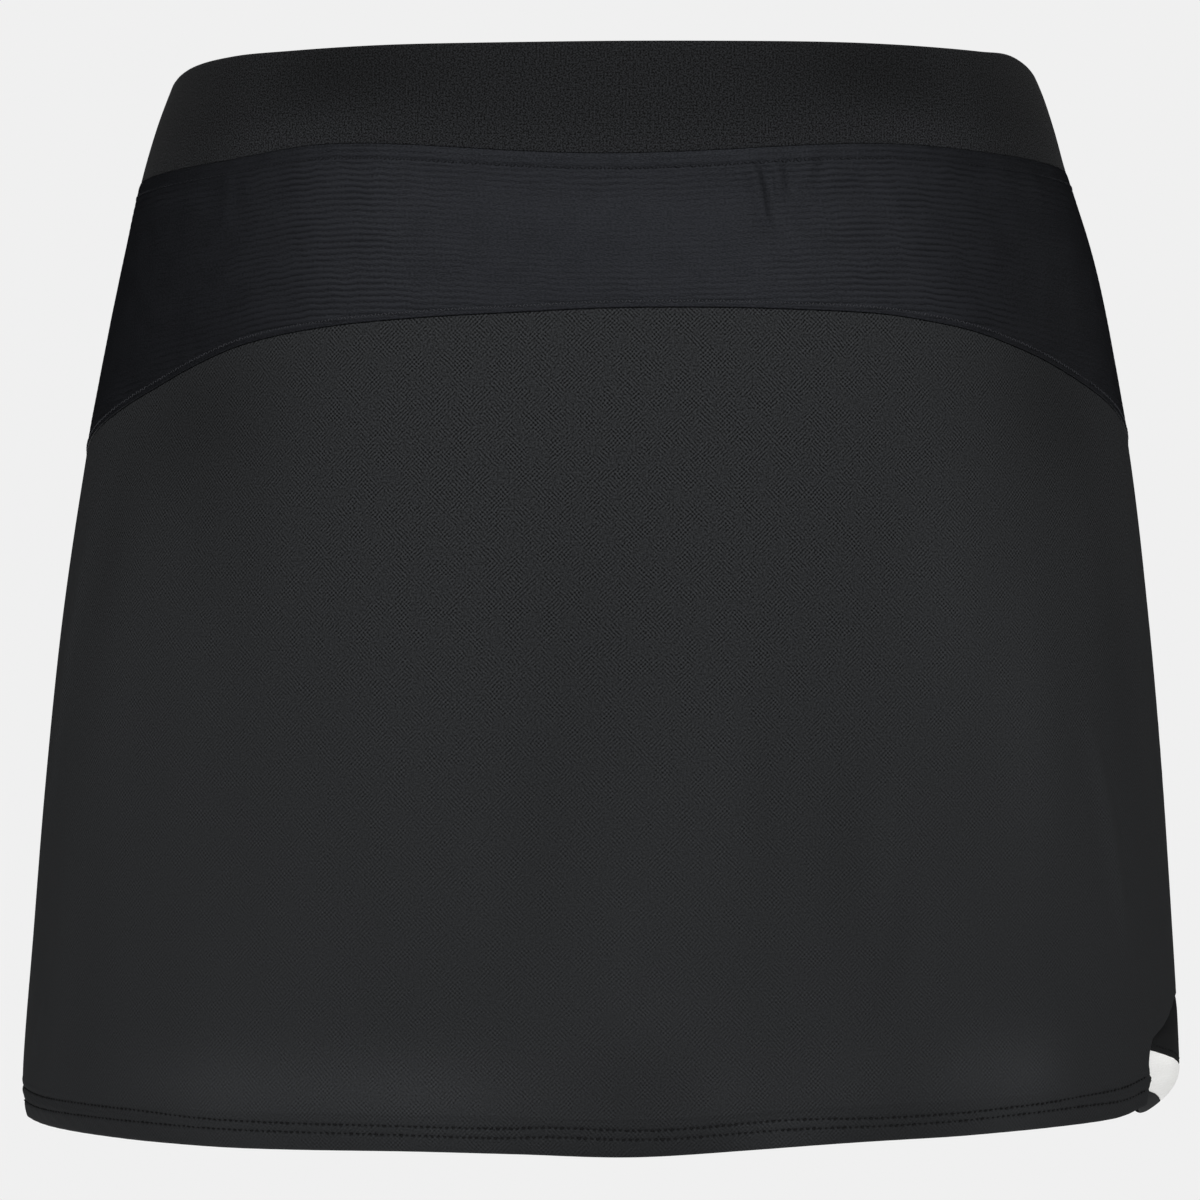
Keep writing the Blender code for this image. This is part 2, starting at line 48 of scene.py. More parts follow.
skirtForm = {
    # height, half width, depth behind, depth in front, shift to the right
    "levels": [
        (-365, 193.4, 141.0, 131.5, 0.0),
        (-350, 194.0, 140.0, 131.0, 0.25),
        (-333, 194.1, 139.2, 130.0, 0.3),
        (-293, 191.7, 137.0, 127.5, 0.55),
        (-239, 187.8, 133.5, 123.5, 0.8),
        (-185, 182.7, 128.5, 119.0, 1.3),
        (-131, 175.7, 122.0, 114.0, 2.4),
        (-90, 168.4, 115.5, 109.5, 2.8),
        (-63, 162.6, 110.5, 106.0, 2.6),
        (-36, 155.4, 105.0, 102.0, 1.4),
        (-20, 150.9, 101.2, 99.0, 1.5),
        (-8, 146.7, 98.6, 96.6, 1.7),
        (3, 142.0, 96.0, 94.0, 1.5),
    ],
    # angle, height
    "waistRim": [
        (-90, -6.0), (-72, -1.2), (-57, -0.5), (-44, -1.1), (-26, -0.9), (0, -0.7),
        (31, 0.1), (47, 0.55), (58, 1.2), (70, 2.2), (90, -2.8), (135, -6.0), (180, -8.0),
        (225, -8.0), (270, -6.0),
    ],
    "waistSeam": [
        (-90, -39.0), (-54, -35.7), (-34, -32.0), (0, -36.6), (35, -31.8), (56, -32.9),
        (90, -35.6), (135, -38.5), (180, -40.0), (225, -40.0), (270, -39.0),
    ],
    "yokeSeam": [
        (-90, -130.0), (-75, -119.9), (-62, -109.3), (-54, -102.3), (-45, -96.0),
        (-33, -91.3), (-21, -88.8), (-10, -87.4), (0, -86.1), (12, -85.8), (22, -86.3),
        (31, -87.1), (38, -89.2), (44, -91.6), (51, -95.4), (59, -99.8), (66, -104.9),
        (77, -114.6), (90, -127.0),
    ],
    "backHem": [
        (-90, -350.6), (-80, -350.9), (-73, -351.2), (-55, -351.2), (-38, -350.9),
        (-19, -349.8), (-8, -350.0), (3, -350.8), (14, -349.1), (24, -347.7),
        (36, -347.2), (48, -346.5), (60, -345.6), (66, -343.5), (90, -336.0),
    ],
    "frontHem": [
        (63, -339.6), (70, -341.9), (78, -346.4), (86, -350.5), (100, -352.0),
        (130, -353.5), (180, -353.5), (230, -353.0), (255, -352.0), (270, -350.5),
        (283, -348.5),
    ],
    # height, angle of the back panel's edge
    "rightVent": [
        (-352, 66.4), (-344, 67.0), (-337, 67.7), (-334.5, 68.2), (-330.5, 67.5),
        (-324, 68.3), (-320.4, 69.7), (-318.5, 72.9), (-315.7, 76.2), (-312.6, 79.2),
        (-310.0, 83.6), (-305.5, 88.4), (-300, 90.0), (-288, 90.0),
    ],
    "leftVent": [
        (-352, -82.6), (-346, -83.6), (-343.4, -84.6), (-342.2, -88.0), (-341, -90.0),
        (-310, -90.0), (-288, -90.0),
    ],
    # angle, depth that the back hem curls in, height over which it curls
    "backCurl": [
        (-90, 0.4, 5.0), (-80, 1.4, 6.0), (-68, 4.0, 9.0), (-50, 4.8, 14.0), (40, 4.8, 15.0),
        (54, 2.4, 15.0), (68, 0.4, 15.0), (90, 0.0, 15.0),
    ],
    "backCurlShape": 1.7,
    # angle, depth that the front hem curls in
    "frontCurl": [(60, 11.3), (92, 11.3), (125, 4.0), (180, 3.0), (284, 3.0)],
    "frontCurlShape": 2.2,
    # angle on top, angle at the hem, top, height, width
    "folds": [
        (-58, -70, -150, 1.0, 5.0),
        (-33, -37, -235, 0.8, 9.0),
        (36, 40, -225, 0.9, 6.0),
        (112, 108, -190, 1.9, 6.0),
        (141, 138, -230, 1.7, 8.0),
        (172, 176, -205, 1.4, 9.0),
        (208, 213, -240, 1.8, 8.0),
        (243, 249, -180, 1.7, 6.0),
    ],
    "foldGrowth": 1.2,  # how much sooner than at the hem a fold is whole
    # angle, width, height, spread up and down, how far it stands out
    "swells": [
        (-53, 15, -120, 30, -4.4),
        (61, 14, -110, 34, -4.4),
        (-66, 5, -162, 30, -1.2),
        (-40, 4, -168, 34, -0.9),
        (-58, 6, -212, 44, 0.7),
        (38, 6, -185, 46, 1.6),
        (47, 5, -225, 48, 2.5),
        (67, 6, -200, 52, -1.6),
        (-3, 8, -215, 70, -1.1),
        (16, 3, -245, 38, -0.9),
        (25, 4, -262, 36, -1.0),
        (6, 5, -312, 12, 0.8),
        (118, 14, -105, 36, -2.2),
        (163, 10, -190, 60, 1.3),
        (196, 8, -230, 46, -1.2),
        (238, 14, -112, 38, -2.4),
        (222, 7, -210, 44, 1.4),
    ],
    # angle, width, how far the cloth above the hem stands out
    "hemSwells": [
        (-40, 14, 2.4), (-20, 10, 2.3), (2, 5, -1.1), (12, 3, 1.2), (24, 6, 0.8), (36, 4, 1.8),
        (45, 6, 2.6), (125, 16, 1.4), (170, 12, -0.9), (205, 16, 1.6), (246, 10, 1.0),
    ],
    "hemSwellUp": (16.0, 13.0),  # height above the hem, spread
    # angle and height of the top, angle and height of the foot, height, width in degrees
    "creases": [
        (56.0, -205, 64.0, -306, 1.5, 1.5),
        (-72.0, -140, -77.0, -276, 1.2, 1.6),
        (-72.6, -305, -75.2, -330, 0.9, 1.0),
        (27.6, -232, 28.4, -300, 0.675, 1.6),
        (1.5, -262, 1.9, -322, 0.675, 1.7),
        (-7.5, -210, -5.5, -318, -0.75, 3.2),
        (11.5, -190, 13.0, -300, 0.6, 3.4),
        (-49.0, -132, -45.0, -196, -0.9, 4.5),
        (30.0, -262, 27.5, -322, -0.675, 2.2),
        (-14.0, -240, -10.5, -300, 0.45, 2.6),
        (101.0, -150, 97.0, -250, 0.9, 1.8),
        (122.0, -262, 127.0, -322, 0.825, 1.8),
        (154.0, -232, 150.0, -305, -0.6, 2.4),
        (196.0, -250, 199.5, -318, 0.75, 2.0),
        (228.0, -180, 224.0, -262, -0.6, 2.2),
        (258.0, -160, 262.0, -268, 0.9, 1.7),
    ],
    "creaseSway": (0.5, 5.0),  # degrees that a crease wanders, radians of its wave
    "creaseFade": 0.35,  # share of its length over which each end fades
    # slow unevenness: height on top, height at the hem, waves round, mm a radian, start
    "drift": [(0.0875, 0.35, 7, 61.0, 0.0), (0.0625, 0.25, 13, -47.0, 1.3),
              (0.0, 0.13, 29, 33.0, 0.4)],
    "driftDown": (-60.0, 260.0),  # height where it starts to grow, way down to its full height
    # painted light and shade: swells are painted lighter and hollows darker, by these shares
    "paintedShadeGain": 0.06,  # how much lighter a swell of one millimetre is than a level place
    "paintedDriftShade": 0.6,  # share of that for the slow unevenness
    "ventLap": 1.6,  # degrees that the front laps under the back
    "ventStart": (89.6, 3.0),  # edge angle where a vent starts, degrees over which it opens
    "ventGaps": (2, 12),  # seam gaps beside the front where the vent is shut, more when open
    # depth of the front inside the back's edge, degrees over which it comes out again
    "rightInset": (3.6, 10.0),
    "leftInset": (2.7, 3.6),
    "bandHeight": 12.3,
    "edgeHeight": 4.5,
    "seamGap": 0.05,
}


def smoothStep(share):
    share = np.clip(share, 0.0, 1.0)
    return share * share * (3.0 - 2.0 * share)


def fadeIn(place, start, span):
    return smoothStep((place - start) / span)


def fadeOut(place, end, span):
    return smoothStep((end - place) / span)


def bell(place, middle, width):
    return np.exp(-(((place - middle) / width) ** 2))


def bells(rows, place):
    # The sum of soft lobes, each given by its middle, width and height.
    return sum(height * bell(place, middle, width) for middle, width, height in rows)


def ripple(angle, z, waves):
    # Waves across the cloth multiplied, each with its degrees and millimetres a radian, and start.
    return np.prod([np.sin(angle / degrees + z / length + start)
                    for degrees, length, start in waves], axis=0)


def curveAt(rows, place):
    # The later columns of the rows at each place along the first column, on a smooth curve.
    rows = np.array(rows, float)
    knots, values = rows[:, 0], rows[:, 1:]
    place = np.clip(place, knots[0], knots[-1])
    after = np.clip(np.searchsorted(knots, place, side="right"), 1, len(knots) - 1)
    before = after - 1
    following = np.minimum(np.arange(len(knots)) + 1, len(knots) - 1)
    previous = np.maximum(np.arange(len(knots)) - 1, 0)
    slopes = (values[following] - values[previous]) / (knots[following] - knots[previous])[:, None]
    span = (knots[after] - knots[before])[..., None]
    t = (place - knots[before])[..., None] / span
    bend = (t**3 - 2 * t**2 + t) * slopes[before] + (t**3 - t**2) * slopes[after]
    return values[before] + (values[after] - values[before]) * smoothStep(t) + bend * span


def lineHeight(name, angle):
    rows = skirtForm[name]
    outside = (angle > rows[-1][0]) | (angle < rows[0][0])
    turned = np.where(outside, (angle - leftSeam) % 360 + leftSeam, angle)
    return curveAt(rows, turned)[..., 0]


def creaseLine(z, topAngle, top, footAngle, foot, sway):
    # How far down a crease each height is, from 0 to 1, and the angle of its middle there.
    down = (top - z) / (top - foot)
    wander, wave = sway
    return down, topAngle + (footAngle - topAngle) * down + wander * np.sin(down * wave)


def foldRelief(angle, z):
    form = skirtForm
    relief = np.zeros(np.broadcast(angle, z).shape)
    hem = form["levels"][1][0]
    for topAngle, hemAngle, top, height, width in form["folds"]:
        down = (top - z) / (top - hem)
        middle = topAngle + (hemAngle - topAngle) * np.minimum(down, 1.0)
        grown = smoothStep(down * form["foldGrowth"])
        relief = relief + height * grown * bell(angle, middle, width)
    for *ends, height, width in form["creases"]:
        down, middle = creaseLine(z, *ends, form["creaseSway"])
        fade = fadeIn(down, 0.0, form["creaseFade"]) * fadeOut(down, 1.0, form["creaseFade"])
        relief = relief + height * fade * bell(angle, middle, width)
    for middle, width, level, spread, height in form["swells"]:
        relief = relief + height * bell(angle, middle, width) * bell(z, level, spread)
    onFront = (angle > rightSeam) & (angle < leftSeam + 360)
    hemHeight = np.where(onFront, lineHeight("frontHem", angle), lineHeight("backHem", angle))
    return relief + bells(form["hemSwells"], angle) * bell(z - hemHeight, *form["hemSwellUp"])


def driftRelief(angle, z):
    # Slow unevenness of hanging cloth, stronger towards the hem.
    turn, low = np.radians(angle), fadeOut(z, *skirtForm["driftDown"])
    return sum((top + (hem - top) * low) * np.sin(count * turn + z / length + start)
               for top, hem, count, length, start in skirtForm["drift"])


def foldTone(angle, z):
    # Painted light and shade: cloth is painted a little lighter where it stands out and darker in
    # its hollows, where shade would fall.
    drift = skirtForm["paintedDriftShade"] * driftRelief(angle, z)
    return skirtForm["paintedShadeGain"] * (foldRelief(angle, z) + drift)


def bodyPoint(angle, z):
    angle, z = np.broadcast_arrays(np.asarray(angle, float), np.asarray(z, float))
    level = curveAt(skirtForm["levels"], z)
    side, back = np.sin(np.radians(angle)), np.cos(np.radians(angle))
    depth = np.where(back > 0, level[..., 1], level[..., 2])
    return np.stack([level[..., 3] + level[..., 0] * side, -depth * back, z], axis=-1)


def bodyNormal(angle, z):
    around = bodyPoint(angle + 0.5, z) - bodyPoint(angle - 0.5, z)
    upward = bodyPoint(angle, z + 1) - bodyPoint(angle, z - 1)
    normal = np.cross(around, upward)
    return normal / np.linalg.norm(normal, axis=-1, keepdims=True)


def skirtPoint(angle, z, out=0.0):
    out = np.asarray(out, float) + foldRelief(angle, z) + driftRelief(angle, z)
    return bodyPoint(angle, z) + bodyNormal(angle, z) * out[..., None]


def seamAngle(z):
    return np.degrees(skirtForm["seamGap"] / 2 / curveAt(skirtForm["levels"], z)[..., 2])


def backEdges(z):
    gap = seamAngle(z)
    left = curveAt(skirtForm["leftVent"], z)[..., 0] + gap
    right = curveAt(skirtForm["rightVent"], z)[..., 0] - gap
    return left, right


def ventOpening(edge):
    # How far a vent is open where the back's edge is at this angle.
    return fadeOut(abs(edge), *skirtForm["ventStart"])


def frontEdges(z):
    left, right = backEdges(z)
    shut, more = skirtForm["ventGaps"]
    leftIn, rightIn = [
        seamAngle(z) * (shut + more * ventOpening(edge)) - skirtForm["ventLap"] * ventOpening(edge)
        for edge in (left, right)
    ]
    return right + rightIn, left + 360 - leftIn


def backPoint(angle, z, out=0.0):
    curl = curveAt(skirtForm["backCurl"], angle)
    curled = np.maximum(1.0 - (z - lineHeight("backHem", angle)) / curl[..., 1], 0.0)
    return skirtPoint(angle, z, out - curl[..., 0] * curled ** skirtForm["backCurlShape"])


def frontInset(angle, z):
    # How deep the front lies inside the back beside a vent, less where the vent is narrow.
    left, right = backEdges(z)
    inset = 0.0
    for edge, pastEdge, side in ((right, angle - right, "rightInset"),
                                 (left, left + 360 - angle, "leftInset")):
        depth, blend = skirtForm[side]
        reach = np.clip(0.5 * (rightSeam - abs(edge)), 1.0, blend)
        beside = smoothStep(1.0 - (pastEdge - skirtForm["ventLap"]) / reach)
        inset = inset + depth * beside * ventOpening(edge)
    return inset


def frontPoint(angle, z, out=0.0):
    curlHeight = skirtForm["bandHeight"] + skirtForm["edgeHeight"]
    curled = np.maximum(curlHeight - (z - lineHeight("frontHem", angle)), 0.0) / curlHeight
    curl = curveAt(skirtForm["frontCurl"], angle)[..., 0] * curled ** skirtForm["frontCurlShape"]
    return skirtPoint(angle, z, out - frontInset(angle, z) - curl)


def edgeRound(distance, radius):
    # How far a rounded edge falls away, from the radius at the edge itself to 0.
    near = np.clip(1.0 - distance / radius, 0.0, 1.0)
    return radius * (1.0 - np.sqrt(np.clip(1.0 - near * near, 0.0, 1.0)))


def deepest(*falls):
    return np.maximum.reduce(np.broadcast_arrays(*falls))


edgeSteps = np.array([0.0, 0.05, 0.2, 0.45, 0.8, 1.3])  # closer rows where an edge is rounded


def spreadAcross(length, count):
    # Distances from one end of each length to the other, closer together at both ends.
    length = np.asarray(length, float)[..., None]
    middle = edgeSteps[-1] + (length - 2 * edgeSteps[-1]) * np.linspace(0, 1, count)
    start = np.broadcast_to(edgeSteps[:-1], length.shape[:-1] + (len(edgeSteps) - 1,))
    return np.concatenate([start, middle, (length - edgeSteps[:-1][::-1])], axis=-1)


def surfaceSteps(points, axis):
    step = np.linalg.norm(np.diff(points, axis=axis), axis=-1)
    start = np.zeros_like(np.take(step, [0], axis=axis))
    return np.cumsum(np.concatenate([start, step], axis=axis), axis=axis)


def clothCoordinates(points, angle, middle):
    # Metres across from one angle and metres of height, which the knit follows.
    across = surfaceSteps(points, 1)
    start = [np.interp(middle, turn, step) for turn, step in zip(angle, across)]
    return np.stack([across - np.array(start)[:, None], points[..., 2]], axis=-1) * mm


def quadsOf(index):
    corners = [index[:-1, :-1], index[1:, :-1], index[1:, 1:], index[:-1, 1:]]
    return np.stack(corners, axis=-1).reshape(-1, 4)


mergeDistance = 0.000002  # metres within which two points become one
sharpAngle = 70.0


def clothShell(name, outer, inner, angle, middle, **values):
    # One closed shell between an outer and an inner grid, whose rows run down the cloth. Each
    # value is kept on its points: one grid for both sides, or one for each.
    rows, columns = outer.shape[:2]
    front = np.arange(rows * columns).reshape(rows, columns)
    back = front + rows * columns
    borders = [
        (front[0], back[0]),
        (front[-1, ::-1], back[-1, ::-1]),
        (front[::-1, 0], back[::-1, 0]),
        (front[:, -1], back[:, -1]),
    ]
    faces = [quadsOf(front), quadsOf(back)[:, ::-1]]
    for near, far in borders:
        faces.append(np.stack([near[:-1], near[1:], far[1:], far[:-1]], axis=-1))
    faces = np.concatenate(faces)
    mesh = bpy.data.meshes.new(name)
    places = np.concatenate([outer.reshape(-1, 3), inner.reshape(-1, 3)]) * mm
    mesh.from_pydata(places.tolist(), [], faces.tolist())
    flat = np.concatenate([clothCoordinates(outer, angle, middle).reshape(-1, 2)] * 2)
    layer = mesh.uv_layers.new(name="cloth")
    layer.data.foreach_set("uv", flat[faces.reshape(-1)].astype(np.float32).reshape(-1))
    for label, value in values.items():
        sides = value if value.ndim == 3 else np.stack([value, value])
        attribute = mesh.attributes.new(label, "FLOAT", "POINT")
        attribute.data.foreach_set("value", sides.astype(np.float32).reshape(-1))
    cleaner = bmesh.new()
    cleaner.from_mesh(mesh)
    bmesh.ops.remove_doubles(cleaner, verts=cleaner.verts, dist=mergeDistance)
    cleaner.to_mesh(mesh)
    cleaner.free()
    mesh.shade_smooth()
    mesh.set_sharp_from_angle(angle=math.radians(sharpAngle))
    piece = bpy.data.objects.new(name, mesh)
    bpy.context.scene.collection.objects.link(piece)
    return piece


def plainMesh(piece):
    # The mesh that the modifiers give, kept as the piece's own.
    shown = piece.evaluated_get(bpy.context.evaluated_depsgraph_get())
    made = bpy.data.meshes.new_from_object(shown)
    piece.modifiers.clear()
    piece.data = made


def setInputs(modifier, **values):
    for item in modifier.node_group.interface.items_tree:
        if item.item_type == "SOCKET" and item.in_out == "INPUT" and item.name in values:
            modifier[item.identifier] = values[item.name]


def shaderOf(name):
    material = bpy.data.materials.new(name)
    material.use_nodes = True
    return material, material.node_tree, material.node_tree.nodes["Principled BSDF"]


def fill(tree, node, inputs):
    # Links sockets to a node's inputs, or sets numbers on them, by name or by place.
    for place, value in inputs.items():
        if isinstance(value, bpy.types.NodeSocket):
            tree.links.new(value, node.inputs[place])
        else:
            node.inputs[place].default_value = value
    return node


def joined(tree, kind, *inputs, **settings):
    node = tree.nodes.new(kind)
    for name, value in settings.items():
        setattr(node, name, value)
    return fill(tree, node, dict(enumerate(inputs)))


def maths(tree, operation, *inputs):
    return joined(tree, "ShaderNodeMath", *inputs, operation=operation).outputs[0]


def vectors(tree, operation, *inputs):
    return joined(tree, "ShaderNodeVectorMath", *inputs, operation=operation).outputs[0]


def scaled(tree, vector, share):
    node = joined(tree, "ShaderNodeVectorMath", vector, operation="SCALE")
    return fill(tree, node, {"Scale": share}).outputs[0]


def kept(tree, name):
    # A value kept on the cloth's points.
    return joined(tree, "ShaderNodeAttribute", attribute_name=name).outputs["Fac"]


def mixed(tree, factor, first, second, **settings):
    mix = joined(tree, "ShaderNodeMix", data_type="RGBA", clamp_factor=True, **settings)
    return fill(tree, mix, {0: factor, 6: first, 7: second}).outputs[2]


def shadeOf(colour, share=1.0):
    # A screen colour from 0 to 255 as a shader takes it, a share lighter or darker.
    shades = [((value / 255 + 0.055) / 1.055) ** 2.4 for value in colour]
    return (*[min(share * value, 1.0) for value in shades], 1.0)


# Knitted cloths. Each has its colour, the size of its stitches in millimetres and how strongly
# they show.
knitLooks = {
    "panelKnit": {
        "colour": (33.0, 34.1, 35.5), "wale": 1.4, "course": 1.4, "twill": 1.0, "lattice": 0.0,
        "contrast": 0.72, "fleck": 2.3, "fleckSize": 0.6, "range": 0.9, "relief": 0.06,
        "roughness": 0.85, "specular": 0.12, "sheen": 0.0, "patches": 0.85, "patchSize": 6.0,
        "wobble": 0.12, "calmDown": 0.6, "calmAside": 0.35,
    },
    "waistJersey": {
        "colour": (21.6, 22.5, 24.1), "wale": 1.15, "course": 0.95, "twill": 0.4,
        "lattice": 0.4, "contrast": 0.7, "fleck": 4.6, "fleckSize": 0.55, "range": 0.95,
        "relief": 0.05, "roughness": 0.85, "specular": 0.12, "sheen": 0.02, "patches": 0.8,
        "patchSize": 4.0, "wobble": 0.3, "calmDown": 0.0, "calmAside": 0.0,
    },
    "lightKnit": {
        "colour": (246, 246, 243), "wale": 0.8, "course": 0.9, "twill": 0.2, "lattice": 0.8,
        "contrast": 0.05, "fleck": 0.15, "fleckSize": 0.7, "range": 0.1, "relief": 0.03,
        "roughness": 0.8, "specular": 0.2, "sheen": 0.0, "patches": 0.3, "patchSize": 6.0,
        "wobble": 0.1, "calmDown": 0.0, "calmAside": 0.0,
    },
    "shortsJersey": {
        "colour": (26, 27, 29), "wale": 0.7, "course": 1.1, "twill": 0.3, "lattice": 0.7,
        "contrast": 0.5, "fleck": 1.2, "fleckSize": 0.7, "range": 0.9, "relief": 0.03,
        "roughness": 0.7, "specular": 0.2, "sheen": 0.0, "patches": 0.4, "patchSize": 8.0,
        "wobble": 0.12, "calmDown": 0.0, "calmAside": 0.0,
    },
}


def ranged(tree, value, low, high, first, last):
    # A value carried smoothly from one range to another.
    node = joined(tree, "ShaderNodeMapRange", value, low, high, first, last,
                  interpolation_type="SMOOTHSTEP")
    return node.outputs[0]


def noiseOf(tree, place, size, detail, seed=0.0):
    moved = vectors(tree, "ADD", place, (seed, -seed, 0.0))
    noise = joined(tree, "ShaderNodeTexNoise", moved, noise_dimensions="2D")
    return fill(tree, noise, {"Scale": 1.0 / (size * mm), "Detail": detail})


def withPaintedLightAndShade(tree, colour):
    # The colour made lighter or darker by the painted light and shade kept on the cloth.
    return scaled(tree, colour, maths(tree, "ADD", kept(tree, "foldTone"), 1.0))


def bumped(tree, shader, height, relief):
    bump = joined(tree, "ShaderNodeBump")
    fill(tree, bump, {"Strength": 1.0, "Distance": relief * mm, "Height": height})
    tree.links.new(bump.outputs[0], shader.inputs["Normal"])


knitWork = {
    "wanderSize": 3.0, "wanderReach": 4,  # in wales
    "calmDown": (-0.3, -0.12), "calmAside": (0.05, 0.15),  # metres down and aside
    "patchRange": (0.36, 0.66),
    # painted shade: how much darker the front panel is painted where it lies under the back
    "paintedLapShadeColour": (0.55, 0.54, 0.53, 1.0),  # where the front panel lies under the back
}


def knitMaterial(name):
    # Two diagonals of stitches that wander, show in patches and calm down away from the upper
    # middle of the cloth, with flecks of lighter and darker yarn.
    look, work = knitLooks[name], knitWork
    material, tree, shader = shaderOf(name)
    cloth = joined(tree, "ShaderNodeUVMap", uv_map="cloth").outputs[0]
    wander = noiseOf(tree, cloth, work["wanderSize"] * look["wale"], 2.0).outputs[1]
    centred = vectors(tree, "SUBTRACT", wander, (0.5, 0.5, 0.5))
    shift = scaled(tree, centred, work["wanderReach"] * look["wobble"] * look["wale"] * mm)
    split = joined(tree, "ShaderNodeSeparateXYZ", vectors(tree, "ADD", cloth, shift))
    across, along = [
        maths(tree, "MULTIPLY", split.outputs[place], 2 * math.pi / (look[step] * mm))
        for place, step in ((0, "wale"), (1, "course"))
    ]
    aside = maths(tree, "ABSOLUTE", split.outputs[0])
    calm = maths(
        tree, "MULTIPLY",
        ranged(tree, split.outputs[1], *work["calmDown"], 1 - look["calmDown"], 1.0),
        ranged(tree, aside, *work["calmAside"], 1.0, 1 - look["calmAside"]),
    )
    shown = None
    waves = [
        (maths(tree, "ADD", across, along), look["twill"], 0.11),
        (maths(tree, "SUBTRACT", across, along), look["twill"], 0.23),
        (across, look["lattice"], 0.37),
        (along, look["lattice"] * 0.5, 0.53),
    ]
    for phase, share, seed in waves:
        if share == 0:
            continue
        patch = noiseOf(tree, cloth, look["patchSize"], 2.0, seed).outputs[0]
        ends = 1 - look["patches"], 1 + look["patches"]
        weight = maths(tree, "MULTIPLY", ranged(tree, patch, *work["patchRange"], *ends),
                       share * look["contrast"] * 0.5)
        wave = maths(tree, "MULTIPLY", maths(tree, "COSINE", phase), weight)
        shown = wave if shown is None else maths(tree, "ADD", wave, shown)
    fleck = noiseOf(tree, cloth, look["fleckSize"], 1.0, 0.71).outputs[0]
    fleck = maths(tree, "MULTIPLY_ADD", fleck, look["fleck"], -0.5 * look["fleck"])
    shown = maths(tree, "MULTIPLY", maths(tree, "ADD", shown, fleck), calm)
    shown = maths(tree, "MULTIPLY_ADD", shown, 0.5 / look["range"], 0.5)
    yarn = mixed(tree, shown, shadeOf(look["colour"], 1 - look["range"]),
                 shadeOf(look["colour"], 1 + look["range"]))
    # Painted shade where the front panel lies under the back beside a vent.
    yarn = mixed(tree, kept(tree, "underLap"), yarn, work["paintedLapShadeColour"], blend_type="MULTIPLY")
    bumped(tree, shader, shown, look["relief"])
    fill(tree, shader, {
        "Base Color": withPaintedLightAndShade(tree, yarn), "Roughness": look["roughness"],
        "Specular IOR Level": look["specular"], "Sheen Weight": look["sheen"],
    })
    return material


ribLook = {
    # crest and groove colours are painted light on the cords and painted shade between them
    "crest": (25.2, 26.0, 28.8), "paintedGrooveShade": (13.4, 14.0, 15.5), "roughness": (0.55, 0.43),
    "specular": 0.14, "tint": (0.82, 0.87, 1.0, 1.0), "relief": 0.11,
    "dashSize": 0.8, "dashFlat": 1.7, "dashGain": 3.1, "dashLevel": -1.03,
    "patchSize": 9.0, "patchGain": 0.6,
    "meanCrest": 0.54,  # taken off, so that a stronger rib is no lighter on the whole
}


def ribMaterial(name):
    # Corded rib: the crests are painted lighter and the grooves darker, as painted light and
    # shade, and the yarn shows as dashes.
    look = ribLook
    material, tree, shader = shaderOf(name)
    cloth = joined(tree, "ShaderNodeUVMap", uv_map="cloth").outputs[0]
    flat = vectors(tree, "MULTIPLY", cloth, (1.0, look["dashFlat"], 1.0))
    dashes = noiseOf(tree, flat, look["dashSize"], 2.0).outputs[0]
    patch = noiseOf(tree, cloth, look["patchSize"], 2.0, 0.3).outputs[0]
    patch = maths(tree, "MULTIPLY_ADD", patch, look["patchGain"], -look["patchGain"] / 2)
    # painted light on the crests and painted shade in the grooves, less their mean
    crest = maths(tree, "MULTIPLY_ADD", kept(tree, "ribFade"), -look["meanCrest"],
                  kept(tree, "ribCrest"))
    shown = maths(tree, "MULTIPLY_ADD", dashes, look["dashGain"], look["dashLevel"])
    shown = maths(tree, "ADD", maths(tree, "ADD", shown, patch), crest)
    yarn = mixed(tree, shown, shadeOf(look["paintedGrooveShade"]), shadeOf(look["crest"]))
    bumped(tree, shader, dashes, look["relief"])
    fill(tree, shader, {
        "Base Color": withPaintedLightAndShade(tree, yarn),
        "Roughness": ranged(tree, dashes, 0.3, 0.7, *look["roughness"]),
        "Specular IOR Level": look["specular"], "Specular Tint": look["tint"],
    })
    return material


threadLooks = {
    "darkThread": {"colour": (14, 14, 15), "roughness": 0.8, "specular": 0.15},
    "glossThread": {"colour": (24, 25, 28), "roughness": 0.8, "specular": 0.1},
    # the thread is black; its lighter colour is a painted highlight beside its real shine
    "paintedShineThread": {"colour": (41, 42, 46), "roughness": 0.6, "specular": 0.25},
}
threadTwist = {"scale": 2500.0, "shades": (0.6, 1.3)}  # turns a metre, darkest and lightest


def threadMaterial(name):
    look = threadLooks[name]
    material, tree, shader = shaderOf(name)
    place = joined(tree, "ShaderNodeTexCoord").outputs["Object"]
    twist = joined(tree, "ShaderNodeTexNoise", place)
    fill(tree, twist, {"Scale": threadTwist["scale"]})
    shades = [shadeOf(look["colour"], share) for share in threadTwist["shades"]]
    fill(tree, shader, {
        "Base Color": mixed(tree, twist.outputs[0], *shades), "Roughness": look["roughness"],
        "Specular IOR Level": look["specular"],
    })
    return material


finishes = {name: knitMaterial(name) for name in knitLooks}
finishes["ribKnit"] = ribMaterial("ribKnit")
finishes.update({name: threadMaterial(name) for name in threadLooks})
print("materials made:", ", ".join(finishes))


def finishPiece(piece, finish, slot, *nodes):
    if not piece.data.materials:
        piece.data.materials.append(finishes[finish])
    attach(piece, "root")
    if nodes:
        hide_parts(*nodes)
    triangles = sum(len(polygon.vertices) - 2 for polygon in piece.data.polygons)
    print(piece.name, "has", triangles, "triangles")


